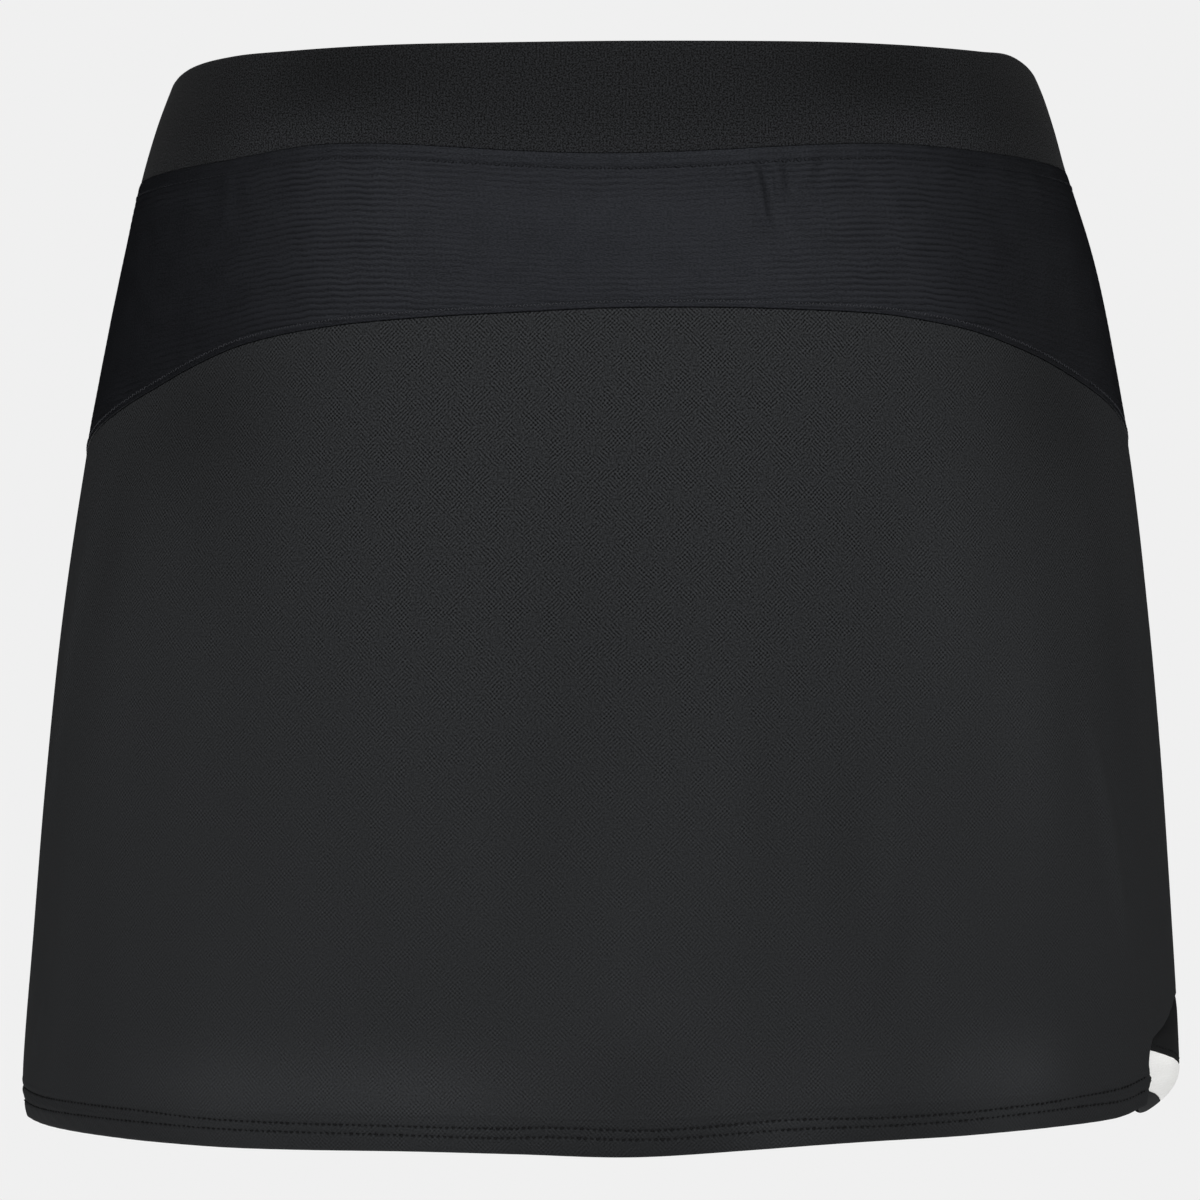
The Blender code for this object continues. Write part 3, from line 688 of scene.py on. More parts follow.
def columnsAlong(firstAngle, lastAngle, heightOf, count):
    # Angles of columns along a line, closer at both ends, and the way to the nearer end.
    fine = np.linspace(firstAngle, lastAngle, 400)
    travel = surfaceSteps(bodyPoint(fine, heightOf(fine))[None], 1)[0]
    steps = spreadAcross(travel[-1], count)
    return np.interp(steps, travel, fine), np.minimum(steps, travel[-1] - steps)


def gathers(distance, angle, height, reach, count, sway, spread):
    # Small gathers beside a seam: their height, reach from it, number round the body, and how
    # unevenly they come.
    waves = np.sin(np.radians(angle) * count + sway * np.sin(angle / spread))
    return height * bell(distance, 0, reach) * waves


waistbandCut = {
    "cloth": 2.8, "columns": 150, "rows": 26, "foldRadius": 1.4, "seamRound": 0.22,
    "sideRound": 0.5, "sideLap": 0.05, "flatBack": (0.383, 0.0405), "flatFront": (0.372, 0.0345),
    "gathers": (0.12, 6.0, 96, 0.9, 7.0),  # as gathers() takes them
    # how far the face stands out above its seam, the way up to it, and where it ends at the sides
    "crown": 2.2, "crownUp": (1.0, 20.0), "crownEnd": (76.0, 36.0),
    # the same for the top, which flares, with angle from the middle, width and more height
    "flare": 0.3, "flareDown": (13.0, 13.0), "flareEnd": (84.0, 12.0), "flares": [(35, 16, 0.9)],
    # painted shade: angle from the middle, width, how much darker the upper half is painted, and
    # the way down it goes
    "shades": [(0, 30, 0.1), (36, 14, 0.34)], "shadeDown": (24.0, 14.0),
    # painted light: how much lighter the foot is painted, more at an angle from the middle, and
    # the way up it goes
    "glow": 0.12, "glows": [(42, 9, 0.14)], "glowUp": (14.0, 10.0),
    # painted shade towards the sides: how much darker, the angle from the middle where it starts
    # and the degrees over which it grows
    "sideShade": 0.22, "sideStart": (48.0, 10.0),
}


def makeWaistband(name, firstAngle, lastAngle, node):
    cut = waistbandCut
    angle, toSide = columnsAlong(firstAngle, lastAngle,
                                 lambda angle: lineHeight("waistSeam", angle), cut["columns"])
    top = lineHeight("waistRim", angle)
    tall = top - lineHeight("waistSeam", angle) - skirtForm["seamGap"] / 2
    drop = spreadAcross(tall, cut["rows"]).T
    z, toSeam = top - drop, tall - drop
    angle = np.broadcast_to(angle, z.shape)
    middle = (firstAngle + lastAngle) / 2
    aside = abs(angle - middle)
    fold = edgeRound(drop, cut["foldRadius"])
    fall = deepest(fold, edgeRound(toSeam, cut["seamRound"]), edgeRound(toSide, cut["sideRound"]))
    flare = fadeOut(drop, *cut["flareDown"]) * fadeOut(aside, *cut["flareEnd"])
    pull = gathers(toSeam, angle, *cut["gathers"])
    pull = pull + cut["crown"] * fadeIn(toSeam, *cut["crownUp"]) * fadeOut(aside, *cut["crownEnd"])
    pull = pull + flare * (cut["flare"] + bells(cut["flares"], aside))
    # Painted shade on the upper half and the sides and painted light at the foot, added to the
    # painted light and shade of the folds.
    shade = bells(cut["shades"], aside) * fadeOut(drop, *cut["shadeDown"])
    shade = shade + cut["sideShade"] * fadeIn(aside, *cut["sideStart"])
    glow = (cut["glow"] + bells(cut["glows"], aside)) * fadeOut(toSeam, *cut["glowUp"])
    outer = skirtPoint(angle, z, pull - fall)
    inner = skirtPoint(angle, z, fold - cut["cloth"])
    paintedShading = foldTone(angle, z) + glow - shade
    piece = clothShell(name, outer, inner, angle, middle, foldTone=paintedShading)
    finishPiece(piece, "waistJersey", "waistband_jersey", node)


yokeCut = {
    "cloth": 1.2, "proud": 0.3, "columns": 224, "rows": 182, "rowsPerRib": 5,
    "rounds": (0.22, 0.2, 0.5),  # of the top, the foot and the sides
    "ledgeSteps": [0.0, 0.06, 0.16, 0.32], "footSpread": 1.3,  # rows of points in from the ends
    "sink": 0.15, "sinkDown": (1.5, 1.5),  # how deep the cloth starts under the waistband
    "topHollow": (0.7, 0.07), "footHollow": (0.5, 0.1),  # width and depth along the stitches
    "ribPitch": 1.9, "pitchGain": 0.25, "ribHeight": 0.18, "ribShape": 0.62,
    "topLedge": 0.7, "footLedge": 0.6, "stitchGap": 4.9, "footStitchGap": 1.85,
    "flat": (0.455, 0.098), "area": 0.0265,
    # crossing waves: degrees and millimetres a radian, start
    "ribWaver": 0.2, "waverWaves": [(0.55, 5.0, 0.0), (3.7, -8.0, 0.0)],
    "ribSway": 0.16, "swayWaves": [(1.4, 7.0, 0.0)],
    "ribSlip": 0.1, "slipWaves": [(0.8, 2.9, 0.0), (4.4, -5.0, 0.0)],
    "ribUneven": 0.5, "unevenWaves": [(2.3, 4.3, 0.0), (4.1, -6.1, 0.7)],
    # how strongly the rib shows: everywhere, at angles, below the top and above the foot
    "ribShown": 0.25, "ribSides": [(-34, 11, 1.5), (37, 13, 1.5)], "ribTop": [(9, 5, 0.35)],
    "ribFoot": [(6, 7, 0.25)], "ribMost": 1.7,
    "ribHidden": 0.5, "ribAbove": 0.6,  # share that the stitches hide, share left above them
    "gathers": (0.07, 5.0, 62, 1.0, 6.0),
    # pulled in under the waist seam: depth, way down and its spread, angle and width
    "hollow": 0.5, "hollowDown": (13, 8), "hollowAt": (4, 26),
    # painted shade on the cloth above the top stitches
    "topShade": 0.1,  # how much darker the cloth above the stitches is
    # painted shade and painted light: way down and its spread, angle and width
    "shade": 0.26, "shadeDown": (14, 14), "shadeAt": (18, 13),
    "glow": 0.14, "glowUp": [(6, 9, 0.1)], "glowAt": (36, 7),
    # angle and height of the top, angle and height of the foot, height, width in degrees
    "puckers": [
        (16.9, -38, 18.6, -66, 1.1, 0.65),
        (19.9, -38, 20.9, -54, 0.9, 0.5),
        (24.5, -36, 24.0, -50, 0.3, 0.8),
        (33.6, -38, 38.3, -84, 0.1, 1.3),
        (-27.0, -34, -28.5, -56, 0.25, 1.0),
        (-8.5, -38, -7.5, -50, 0.2, 0.9),
        (-52.0, -38, -49.0, -62, 0.25, 1.2),
        (63.0, -36, 66.0, -60, 0.12, 1.2),
    ],
    "puckerSway": (0.25, 7.0),
}


def nodeGroup(name, inputs, result):
    # A tree of geometry nodes with its named inputs, and its one output still open.
    tree = bpy.data.node_groups.new(name, "GeometryNodeTree")
    for label, kind in inputs.items():
        tree.interface.new_socket(label, in_out="INPUT", socket_type="NodeSocket" + kind)
    tree.interface.new_socket(result, in_out="OUTPUT", socket_type="NodeSocketGeometry")
    return tree, tree.nodes.new("NodeGroupInput").outputs, tree.nodes.new("NodeGroupOutput")


def finishTree(tree, geometry, finish, end):
    real = joined(tree, "GeometryNodeRealizeInstances", geometry)
    dressed = joined(tree, "GeometryNodeSetMaterial", real.outputs[0])
    fill(tree, dressed, {"Material": finish})
    tree.links.new(dressed.outputs[0], end.inputs[0])


def ribTree():
    # Raises each cord of the rib out of the cloth by a rounded profile of its phase.
    tree, given, end = nodeGroup("corded rib", {
        "Geometry": "Geometry", "Rib Height": "Float", "Rib Shape": "Float", "Cloth": "Material",
    }, "Geometry")
    phase, fade = [
        joined(tree, "GeometryNodeInputNamedAttribute", name, data_type="FLOAT").outputs[0]
        for name in ("ribPhase", "ribFade")
    ]
    arch = maths(tree, "ABSOLUTE", maths(tree, "SINE", maths(tree, "MULTIPLY", phase, math.pi)))
    crest = maths(tree, "MULTIPLY", maths(tree, "POWER", arch, given["Rib Shape"]), fade)
    lift = maths(tree, "MULTIPLY", crest, given["Rib Height"])
    stored = joined(tree, "GeometryNodeStoreNamedAttribute", given["Geometry"], data_type="FLOAT")
    fill(tree, stored, {"Name": "ribCrest", "Value": crest})
    moved = joined(tree, "GeometryNodeSetPosition", stored.outputs[0])
    normal = joined(tree, "GeometryNodeInputNormal").outputs[0]
    fill(tree, moved, {"Offset": scaled(tree, normal, lift)})
    finishTree(tree, moved.outputs[0], given["Cloth"], end)
    return tree


def puckerRelief(angle, z):
    # Each pucker is a small ridge with a shallower hollow on one side.
    relief = np.zeros(np.broadcast(angle, z).shape)
    for *ends, height, width in yokeCut["puckers"]:
        down, middle = creaseLine(z, *ends, yokeCut["puckerSway"])
        fade = fadeIn(down, -0.1, 0.3) * fadeOut(down, 1.0, 0.5)
        across = (angle - middle) / width
        relief = relief + height * fade * (bell(across, 0, 1) - 0.45 * bell(across, 1.4, 1))
    return relief


def yokePoint(angle, z, out):
    return skirtPoint(angle, z, yokeCut["proud"] + puckerRelief(angle, z) + out)


def makeYoke():
    cut = yokeCut
    angle, toSide = columnsAlong(leftSeam, rightSeam, lambda angle: -75.0, cut["columns"])
    upper = lineHeight("waistSeam", angle) - skirtForm["seamGap"] / 2
    lower = lineHeight("yokeSeam", angle) + skirtForm["seamGap"] / 2
    pitch = cut["ribPitch"] * (1 + cut["pitchGain"] * (angle / 90) ** 2)
    ledge = np.array(cut["ledgeSteps"])[:, None]
    ribRow = np.arange(cut["rows"])[:, None] / cut["rowsPerRib"]
    ribZ = np.maximum(upper - cut["topLedge"] - ribRow * pitch, lower + cut["footLedge"])
    z = np.concatenate([upper - ledge, ribZ, lower + ledge[::-1] * cut["footSpread"]])
    angle = np.broadcast_to(angle, z.shape)
    phase = (upper - cut["topLedge"] - z) / pitch
    inside = fadeIn(upper - z, 1.0, 6.0) * fadeIn(z - lower, 1.0, 3.0)
    waver = cut["ribWaver"] * ripple(angle, z, cut["waverWaves"])
    z = z + (waver + cut["ribSway"] * ripple(angle, z, cut["swayWaves"])) * inside
    phase = phase + cut["ribSlip"] * inside * ripple(angle, z, cut["slipWaves"])
    toTop, toFoot = upper - z, z - lower
    pull = gathers(toTop, angle, *cut["gathers"])
    pull = pull - cut["hollow"] * bell(toTop, *cut["hollowDown"]) * bell(angle, *cut["hollowAt"])
    topRound, footRound, sideRound = cut["rounds"]
    fall = deepest(edgeRound(toTop, topRound), edgeRound(toFoot, footRound),
                   edgeRound(toSide, sideRound))
    fall = fall + bells([(cut["stitchGap"], *cut["topHollow"])], toTop)
    fall = fall + cut["sink"] * fadeOut(toTop, *cut["sinkDown"])
    fall = fall + bells([(cut["footStitchGap"], *cut["footHollow"])], toFoot)
    outer = yokePoint(angle, z, pull - fall)
    inner = yokePoint(angle, z, pull - cut["proud"] - cut["cloth"])
    fade = fadeIn(toFoot, cut["footLedge"], 0.7) * fadeIn(toSide, 0.0, 3.0) * (phase > 0)
    fade = fade * (1 - cut["ribHidden"] * bell(toTop, cut["stitchGap"], 0.5))
    below = fadeIn(toTop, cut["stitchGap"] - 0.6, 0.8)
    fade = fade * (cut["ribAbove"] + (1 - cut["ribAbove"]) * below)
    shown = cut["ribShown"] + bells(cut["ribSides"], angle) + bells(cut["ribTop"], toTop)
    shown = np.minimum(shown + bells(cut["ribFoot"], toFoot), cut["ribMost"])
    fade = fade * shown * (1 + cut["ribUneven"] * ripple(angle, z, cut["unevenWaves"]))
    # Painted shade above the top stitches and at one angle, painted light above the foot, added to
    # the painted light and shade of the folds.
    paintedShading = foldTone(angle, z) - cut["topShade"] * (1 - fadeIn(toTop, cut["stitchGap"], 6.0))
    paintedShading = paintedShading - cut["shade"] * bell(toTop, *cut["shadeDown"]) * bell(angle, *cut["shadeAt"])
    paintedShading = paintedShading + (cut["glow"] + bells(cut["glowUp"], toFoot)) * bell(angle, *cut["glowAt"])
    piece = clothShell("back_yoke_rib", outer, inner, angle, 0.0, foldTone=paintedShading,
                       ribPhase=np.stack([phase, 0 * phase]), ribFade=np.stack([fade, 0 * fade]))
    cords = piece.modifiers.new("cords", "NODES")
    cords.node_group = ribTree()
    setInputs(cords, **{"Rib Height": cut["ribHeight"] * mm, "Rib Shape": cut["ribShape"],
                        "Cloth": finishes["ribKnit"]})
    plainMesh(piece)
    piece.data.set_sharp_from_angle(angle=math.radians(80))
    finishPiece(piece, "ribKnit", "rib_knit", "back_yoke")


panelCut = {
    "cloth": 1.2, "columns": 176, "bodyRows": 104, "hemRows": 34, "frontHemRows": 20,
    "hemTurn": 11.6,
    "ventTurn": 7.0, "ventCloth": 0.8, "sideRound": 0.5, "backTuck": 0.75, "frontTuck": 1.1,
    # heights of rows of points above the top seam, and of the first and last row inside the hem
    "topSteps": [1.2, 0.5, 0.0, -0.08, -0.25, -0.55, -1.0], "hemSpan": (1.9, 13.6),
    "flatBack": (0.512, 0.282), "areaBack": 0.1235, "flatFront": (0.505, 0.310),
    "areaFront": 0.1375,
    # angle, heights of the lower and the upper row of hem stitches
    "stitchRows": [
        (-90, 5.8, 10.0), (-51, 6.5, 10.4), (-40, 6.2, 9.3), (-25, 5.6, 8.4), (-10, 5.0, 8.0),
        (-4, 5.9, 8.9), (6, 5.4, 8.3), (17, 5.8, 8.9), (28, 4.9, 7.5), (45, 5.8, 8.6),
        (53, 6.0, 9.4), (62, 5.5, 9.8), (90, 5.5, 9.6),
    ],
    # painted light: angle, width, how much lighter the full hem is painted there, and the cloth
    # above it
    "paintedHemLights": [
        (-36, 9, 0.16, 0.15), (-17, 10, 0.28, 0.22), (17, 5, 0.3, 0.05), (42, 6, 0.22, 0.22),
    ],
    "paintedHemLightUp": (16.0, 16.0),
    # painted shade over the turned hem
    "paintedHemShade": 0.05,
    "hemRidge": 0.16,  # height of the ridge over the turned edge
    "rowDepth": 0.28, "rowWidth": 0.5,
    "rope": 0.1, "ropeWaves": (8.3, 11.0, 1.2, 31.0),  # slanting waves of the turned hem
    "edgeWave": 0.06, "edgeWaveUp": (9.0, 9.0), "edgeWaveLength": 17.0,
    "bandHollow": 0.12, "bandHollowAt": (2.0, 0.4),  # along the stitches above the light band
    "least": 0.12,  # thickness that the front keeps at its edges
    "pucker": (4.5, 7.4, 1.4, 23.0),  # reach, length, unevenness and its length
    # painted shade where the front lies under the back beside a vent
    "underLap": (94, 7.0),  # angle to which the front lies under the vent, degrees it fades over
}


def settleGrid(rowsAt, edges, firstAngle, columns):
    # A grid between two edges, whose heights and angles depend on each other, found in rounds.
    angle = firstAngle + np.linspace(0, 180, columns + 2 * (len(edgeSteps) - 1))[None]
    share = np.linspace(0, 1, 200)
    for _ in range(4):
        z, height, drop = rowsAt(angle)
        left, right = edges(z)
        fine = left[:, :1] + (right[:, :1] - left[:, :1]) * share
        travel = surfaceSteps(bodyPoint(fine, z[:, :1]), 1)
        fromLeft = spreadAcross(travel[:, -1], columns)
        shares = [np.interp(*row, share) for row in zip(fromLeft, travel)]
        angle = left + (right - left) * np.stack(shares)
    return angle, z, height, drop, fromLeft, travel[:, -1:] - fromLeft


def sewnPanel(topLine, hemLine, edges, firstAngle, hemStart, cut):
    # A panel that hangs from one line down to a hem.
    inHem = np.linspace(*cut["hemSpan"], cut["hemRows"])
    hemRows = np.concatenate([edgeSteps, inHem])[::-1, None]
    body = np.linspace(1, 0, cut["bodyRows"] + 1)[1:-1, None]

    def rowsAt(angle):
        hem = lineHeight(hemLine, angle) + hemStart
        top = lineHeight(topLine, angle) - skirtForm["seamGap"] / 2 - hem
        topRows = top[:1] + np.array(cut["topSteps"])[:, None]
        between = hemRows[0] + (topRows[-1:] - hemRows[0]) * body
        height = np.concatenate([topRows, between, hemRows + 0 * top[:1]])
        return hem + height, height, top - height

    return settleGrid(rowsAt, edges, firstAngle, cut["columns"])


def panelThickness(height, toSide, opened, cut):
    hem = fadeOut(height, cut["hemTurn"] + 0.6, 0.6)
    vent = fadeOut(toSide, cut["ventTurn"] + 0.5, 0.5) * opened
    return cut["cloth"] * (1 + np.maximum(hem, vent * cut["ventCloth"]))


def rowHeight(row, angle):
    # Height of the lower row, 0, or the upper row, 1, of hem stitches.
    return curveAt(panelCut["stitchRows"], angle)[..., row]


def paintedHemLightAndShade(angle, height, cut):
    # Painted shade over the turned hem, and painted light in lobes on it and above it.
    onHem = fadeOut(height, cut["hemTurn"], 3.0)
    paintedShading = -cut["paintedHemShade"] * onHem
    for middle, width, low, high in cut["paintedHemLights"]:
        lobe = low * onHem + high * bell(height, *cut["paintedHemLightUp"]) * (1 - onHem)
        paintedShading = paintedShading + lobe * bell(angle, middle, width)
    return paintedShading


def hemRelief(height, angle, along, cut):
    relief = cut["hemRidge"] * bell(height, cut["hemTurn"] + 0.4, 0.7)
    for row in (0, 1):
        relief = relief - cut["rowDepth"] * bell(height, rowHeight(row, angle), cut["rowWidth"])
    length, rise, sway, swayLength = cut["ropeWaves"]
    turn = 2 * math.pi * (along / length + height / rise) + sway * np.sin(along / swayLength)
    relief = relief + cut["rope"] * fadeOut(height, cut["hemTurn"], 3.0) * np.sin(turn)
    wave = fadeOut(height, *cut["edgeWaveUp"]) * np.sin(along / cut["edgeWaveLength"])
    return relief + cut["edgeWave"] * wave


def seamPucker(distance, along, size=0.11):
    reach, length, sway, swayLength = panelCut["pucker"]
    wave = np.sin(2 * math.pi * along / length + sway * np.sin(along / swayLength))
    return size * bell(distance, 0, reach) * wave


def openingBeside(z, onLeft):
    left, right = backEdges(z)
    return ventOpening(np.where(onLeft, left, right))


def sideFall(toSide, half, opened):
    # A side is rounded over half its cloth at a vent, and only a little at a seam.
    atSeam = edgeRound(toSide, panelCut["sideRound"]) * (1 - opened)
    return np.maximum(atSeam, edgeRound(toSide, half) * opened)


def makeBackPanel():
    cut = panelCut
    angle, z, height, drop, fromLeft, fromRight = sewnPanel(
        "yokeSeam", "backHem", backEdges, leftSeam, 0.0, cut
    )
    toSide = np.minimum(fromLeft, fromRight)
    opened = openingBeside(z, fromLeft < fromRight)
    thickness = panelThickness(height, toSide, opened, cut)
    half = thickness / 2
    tuck = cut["backTuck"] * fadeOut(drop, 0.45, 0.9)  # goes in behind the yoke's foot
    fall = deepest(tuck, edgeRound(height, half), sideFall(toSide, half, opened))
    inward = thickness - np.maximum(edgeRound(height, half), edgeRound(toSide, half) * opened)
    relief = hemRelief(height, angle, fromLeft, cut) + seamPucker(toSide, z) * (1 - opened)
    relief = relief + seamPucker(drop, fromLeft, 0.08)
    outer = backPoint(angle, z, relief - fall)
    inner = backPoint(angle, z, relief - np.maximum(inward, fall))
    paintedShading = foldTone(angle, z) + paintedHemLightAndShade(angle, height, cut)
    piece = clothShell("back_panel_cloth", outer, inner, angle, 0.0, foldTone=paintedShading)
    finishPiece(piece, "panelKnit", "panel_knit", "back_panel")


def makeFrontPanel():
    cut = dict(panelCut, hemRows=panelCut["frontHemRows"])
    start = skirtForm["bandHeight"] + skirtForm["edgeHeight"] + skirtForm["seamGap"] / 2
    angle, z, height, drop, fromLeft, fromRight = sewnPanel(
        "waistSeam", "frontHem", frontEdges, rightSeam, start, cut
    )
    toSide = np.minimum(fromLeft, fromRight)
    opened = openingBeside(z, fromLeft > fromRight)
    half = cut["cloth"] / 2
    fall = deepest(edgeRound(drop, half), edgeRound(height, 0.5), sideFall(toSide, half, opened))
    fall = np.where(drop < 0, cut["frontTuck"] * smoothStep(-drop / 0.5) + half, fall)
    inward = cut["cloth"] - edgeRound(toSide, half) * opened
    relief = seamPucker(toSide, z) * (1 - opened) + seamPucker(drop, fromLeft, 0.14)
    relief = relief + seamPucker(height, fromLeft, 0.1)
    relief = relief - cut["bandHollow"] * bell(height, *cut["bandHollowAt"])
    outer = frontPoint(angle, z, relief - fall)
    inner = frontPoint(angle, z, relief - np.maximum(inward, fall + cut["least"]))
    # Painted shade on the front where it lies under the back beside an open vent.
    paintedLapShare = fadeOut(angle, *cut["underLap"]) * opened
    piece = clothShell("front_panel_cloth", outer, inner, angle, 180.0,
                       foldTone=foldTone(angle, z), underLap=paintedLapShare)
    finishPiece(piece, "panelKnit", "panel_knit", "front_panel")


stripCut = {
    "columns": 230, "bandRows": 16, "edgeRows": 7, "bandCloth": 1.2, "edgeCloth": 1.05,
    "foldGap": 0.05, "endRound": 1.0, "endTurn": 5.4, "endRaise": 0.45,
    "least": 0.04,  # thickness that a rounded edge keeps
    "flatBand": (0.512, 0.0125), "flatEdge": (0.508, 0.0106),
}


def stripGrid(height):
    # Angles and heights of a strip round the front, and the way to its nearer end.
    height = height[:, None]
    angle, z, _, _, fromLeft, fromRight = settleGrid(
        lambda angle: (lineHeight("frontHem", angle) + height, height, height),
        frontEdges, rightSeam, stripCut["columns"]
    )
    return angle, z, height, fromLeft, np.minimum(fromLeft, fromRight)


def makeLightBand():
    cut = stripCut
    bottom = skirtForm["edgeHeight"] + skirtForm["seamGap"] / 2
    top = skirtForm["edgeHeight"] + skirtForm["bandHeight"] - skirtForm["seamGap"] / 2
    rows = spreadAcross(np.array([top - bottom]), cut["bandRows"])[0] + bottom
    angle, z, height, along, toSide = stripGrid(rows[::-1])
    atEnd = edgeRound(toSide, cut["bandCloth"] / 2)
    fall = deepest(edgeRound(top - height, 0.5), edgeRound(height - bottom, 0.5), atEnd)
    relief = seamPucker(np.minimum(top - height, height - bottom), along, 0.09)
    turned = cut["endRaise"] * fadeOut(toSide, cut["endTurn"], 0.4)
    outer = frontPoint(angle, z, relief + turned - fall)
    inner = frontPoint(angle, z, relief - np.maximum(cut["bandCloth"] - atEnd, fall))
    piece = clothShell("front_band_light", outer, inner, angle, 180.0)
    finishPiece(piece, "lightKnit", "light_knit", "front_hem_band")


def makeDarkEdge():
    # A strip folded double round the foot: down its face, round the fold and up behind.
    cut = stripCut
    cloth, gap = cut["edgeCloth"], cut["foldGap"]
    radius = cloth + gap
    top = skirtForm["edgeHeight"] - skirtForm["seamGap"] / 2
    face = np.concatenate([top - edgeSteps[:4], np.linspace(top - 1.0, radius, cut["edgeRows"])])
    bend = np.radians(np.linspace(0, 180, 9)[1:-1])
    heights = np.concatenate([face, radius * (1 - np.sin(bend)), face[::-1]])
    turned = np.concatenate([0 * face, 1 - np.cos(bend), 0 * face + 2])[:, None]
    angle, z, height, along, toSide = stripGrid(heights)
    fall = np.maximum(edgeRound(toSide, cut["endRound"]), edgeRound(top - height, 0.5))
    fall = np.minimum(fall, cloth - cut["least"]) * (1 - turned)
    relief = seamPucker(top - height, along, 0.07)
    outer = frontPoint(angle, z, relief - fall - radius * turned)
    insideHeight = np.concatenate([face, radius - gap * np.sin(bend), face[::-1]])[:, None]
    inner = frontPoint(angle, z - height + insideHeight, relief - cloth - gap * turned)
    piece = clothShell("front_edge_dark", outer, inner, angle, 180.0)
    finishPiece(piece, "panelKnit", "panel_knit", "front_hem_edge")


shortsCut = {
    "cloth": 1.0, "columns": 120, "hipRows": 34, "curveRows": 26, "legRows": 28,
    "drop": 0.8, "centreGap": 0.12, "inseamGap": 0.2, "crotch": -248.0, "curve": 85.0,
    "legFoot": -320.0, "hemTurn": 16.0, "rowGap": 3.0, "flat": (0.545, 0.288), "area": 0.134,
    # height and crossing waves: degrees and millimetres a radian, start
    "waves": [(0.25, [(9.0, 17.0, 0.0)]), (0.2, [(-5.0, 9.0, 0.0)])],
    "waveFades": (30.0, 12.0, 12.0),  # below the top, beside the centre seams, above the foot
    "legShare": 0.98, "footSteps": [0.99, 0.997, 1.0],  # the last rows of points lie closer
    "rowDepths": (0.15, 0.12), "rowWidth": 0.7,
    # height, depth inside the skirt
    "inset": [(-250, 20.0), (-163, 12.0), (-120, 8.0), (-80, 5.5), (-55, 3.6), (-30, 1.8)],
    # height, inner and outer side, half depth, middle
    "legs": [
        (-320, 9.0, 165.0, 84.0, -2.0),
        (-285, 5.0, 167.0, 88.0, -3.0),
        (-248, 0.06, 168.0, 95.0, -4.0),
    ],
}


def shortsPoint(side, turn, z, split):
    cut = shortsCut
    level = curveAt(skirtForm["levels"], z)
    inset = curveAt(cut["inset"], z)[..., 0]
    depth = np.where(turn > 0, level[..., 2], level[..., 1])
    around = np.radians(turn)
    hipX = (level[..., 0] - inset) * np.cos(around) + cut["centreGap"] / 2
    hipY = (depth - inset) * np.sin(around)
    leg = curveAt(cut["legs"], z)
    legTurn = np.radians(2 * turn)
    legX = (leg[..., 0] + leg[..., 1]) / 2 + (leg[..., 1] - leg[..., 0]) / 2 * np.cos(legTurn)
    legY = leg[..., 3] + leg[..., 2] * np.sin(legTurn) + cut["inseamGap"] / 2 * turn / 90
    x = side * (hipX + (legX - hipX) * split) + level[..., 3]
    return np.stack([x, hipY + (legY - hipY) * split, z], axis=-1)


def makeShorts(name, side, node):
    cut = shortsCut
    turn = side * (180 * np.linspace(0, 1, cut["columns"]) - 90)
    top = lineHeight("waistSeam", side * (90 + turn)) - cut["drop"]
    curveTop = cut["crotch"] + cut["curve"]
    hip = np.linspace(0, 1, cut["hipRows"])[:, None]
    rows = [top + (curveTop - top) * hip]
    bend = np.radians(90 * (1 - np.linspace(0, 1, cut["curveRows"] + 1)[1:, None]))
    rows.append(cut["crotch"] + cut["curve"] * (1 - np.cos(bend)) + 0 * top)
    legSteps = np.linspace(0, 1, cut["legRows"])[1:] * cut["legShare"]
    legSteps = np.concatenate([legSteps, cut["footSteps"]])
    rows.append(cut["crotch"] + (cut["legFoot"] - cut["crotch"]) * legSteps[:, None] + 0 * top)
    splits = [0 * rows[0], 1 - np.sin(bend) + 0 * top, 1 + 0 * rows[2]]
    z, split = np.concatenate(rows), np.concatenate(splits)
    turn = np.broadcast_to(turn, z.shape)
    base = shortsPoint(side, turn, z, split)
    normal = np.cross(np.gradient(base, axis=1), -np.gradient(base, axis=0))
    normal = normal / np.linalg.norm(normal, axis=-1, keepdims=True)
    toFoot = z - cut["legFoot"]
    topFade, seamFade, footFade = cut["waveFades"]
    waves = sum(size * ripple(turn, z, crossing) for size, crossing in cut["waves"])
    relief = waves * fadeOut(z, top, topFade) * fadeOut(abs(turn), 90, seamFade)
    relief = relief * smoothStep(toFoot / footFade)
    for row, depth in enumerate(cut["rowDepths"]):
        stitched = cut["hemTurn"] - row * cut["rowGap"]
        relief = relief - depth * bell(toFoot, stitched, cut["rowWidth"])
    fall = edgeRound(toFoot, cut["cloth"] / 2)
    outer = base + normal * (relief - fall)[..., None]
    inner = base + normal * (relief - cut["cloth"] + fall)[..., None]
    piece = clothShell(name, outer, inner, side * turn, 0.0)
    finishPiece(piece, "shortsJersey", "shorts_jersey", node)


makeShorts("inner_shorts_left", -1, "shorts_left")
makeShorts("inner_shorts_right", 1, "shorts_right")
print("inner shorts sewn")

# degrees that the halves lap at each side seam, where the waist is about 100 mm deep
sideLap = math.degrees(waistbandCut["sideLap"] / 100)
makeWaistband("waistband_back_shell", leftSeam - sideLap, rightSeam + sideLap,
              "waistband_back")
makeWaistband("waistband_front_shell", rightSeam - sideLap, leftSeam + 360 + sideLap,
              "waistband_front")
makeYoke()
makeBackPanel()
makeFrontPanel()
makeLightBand()
makeDarkEdge()
print("skirt sewn")


stitchWork = {
    "sides": 8, "rings": 5, "lean": 11.0,  # degrees that a stitch leans either way
    "sizes": (0.72, 1.15),  # smallest and largest share of its size
}
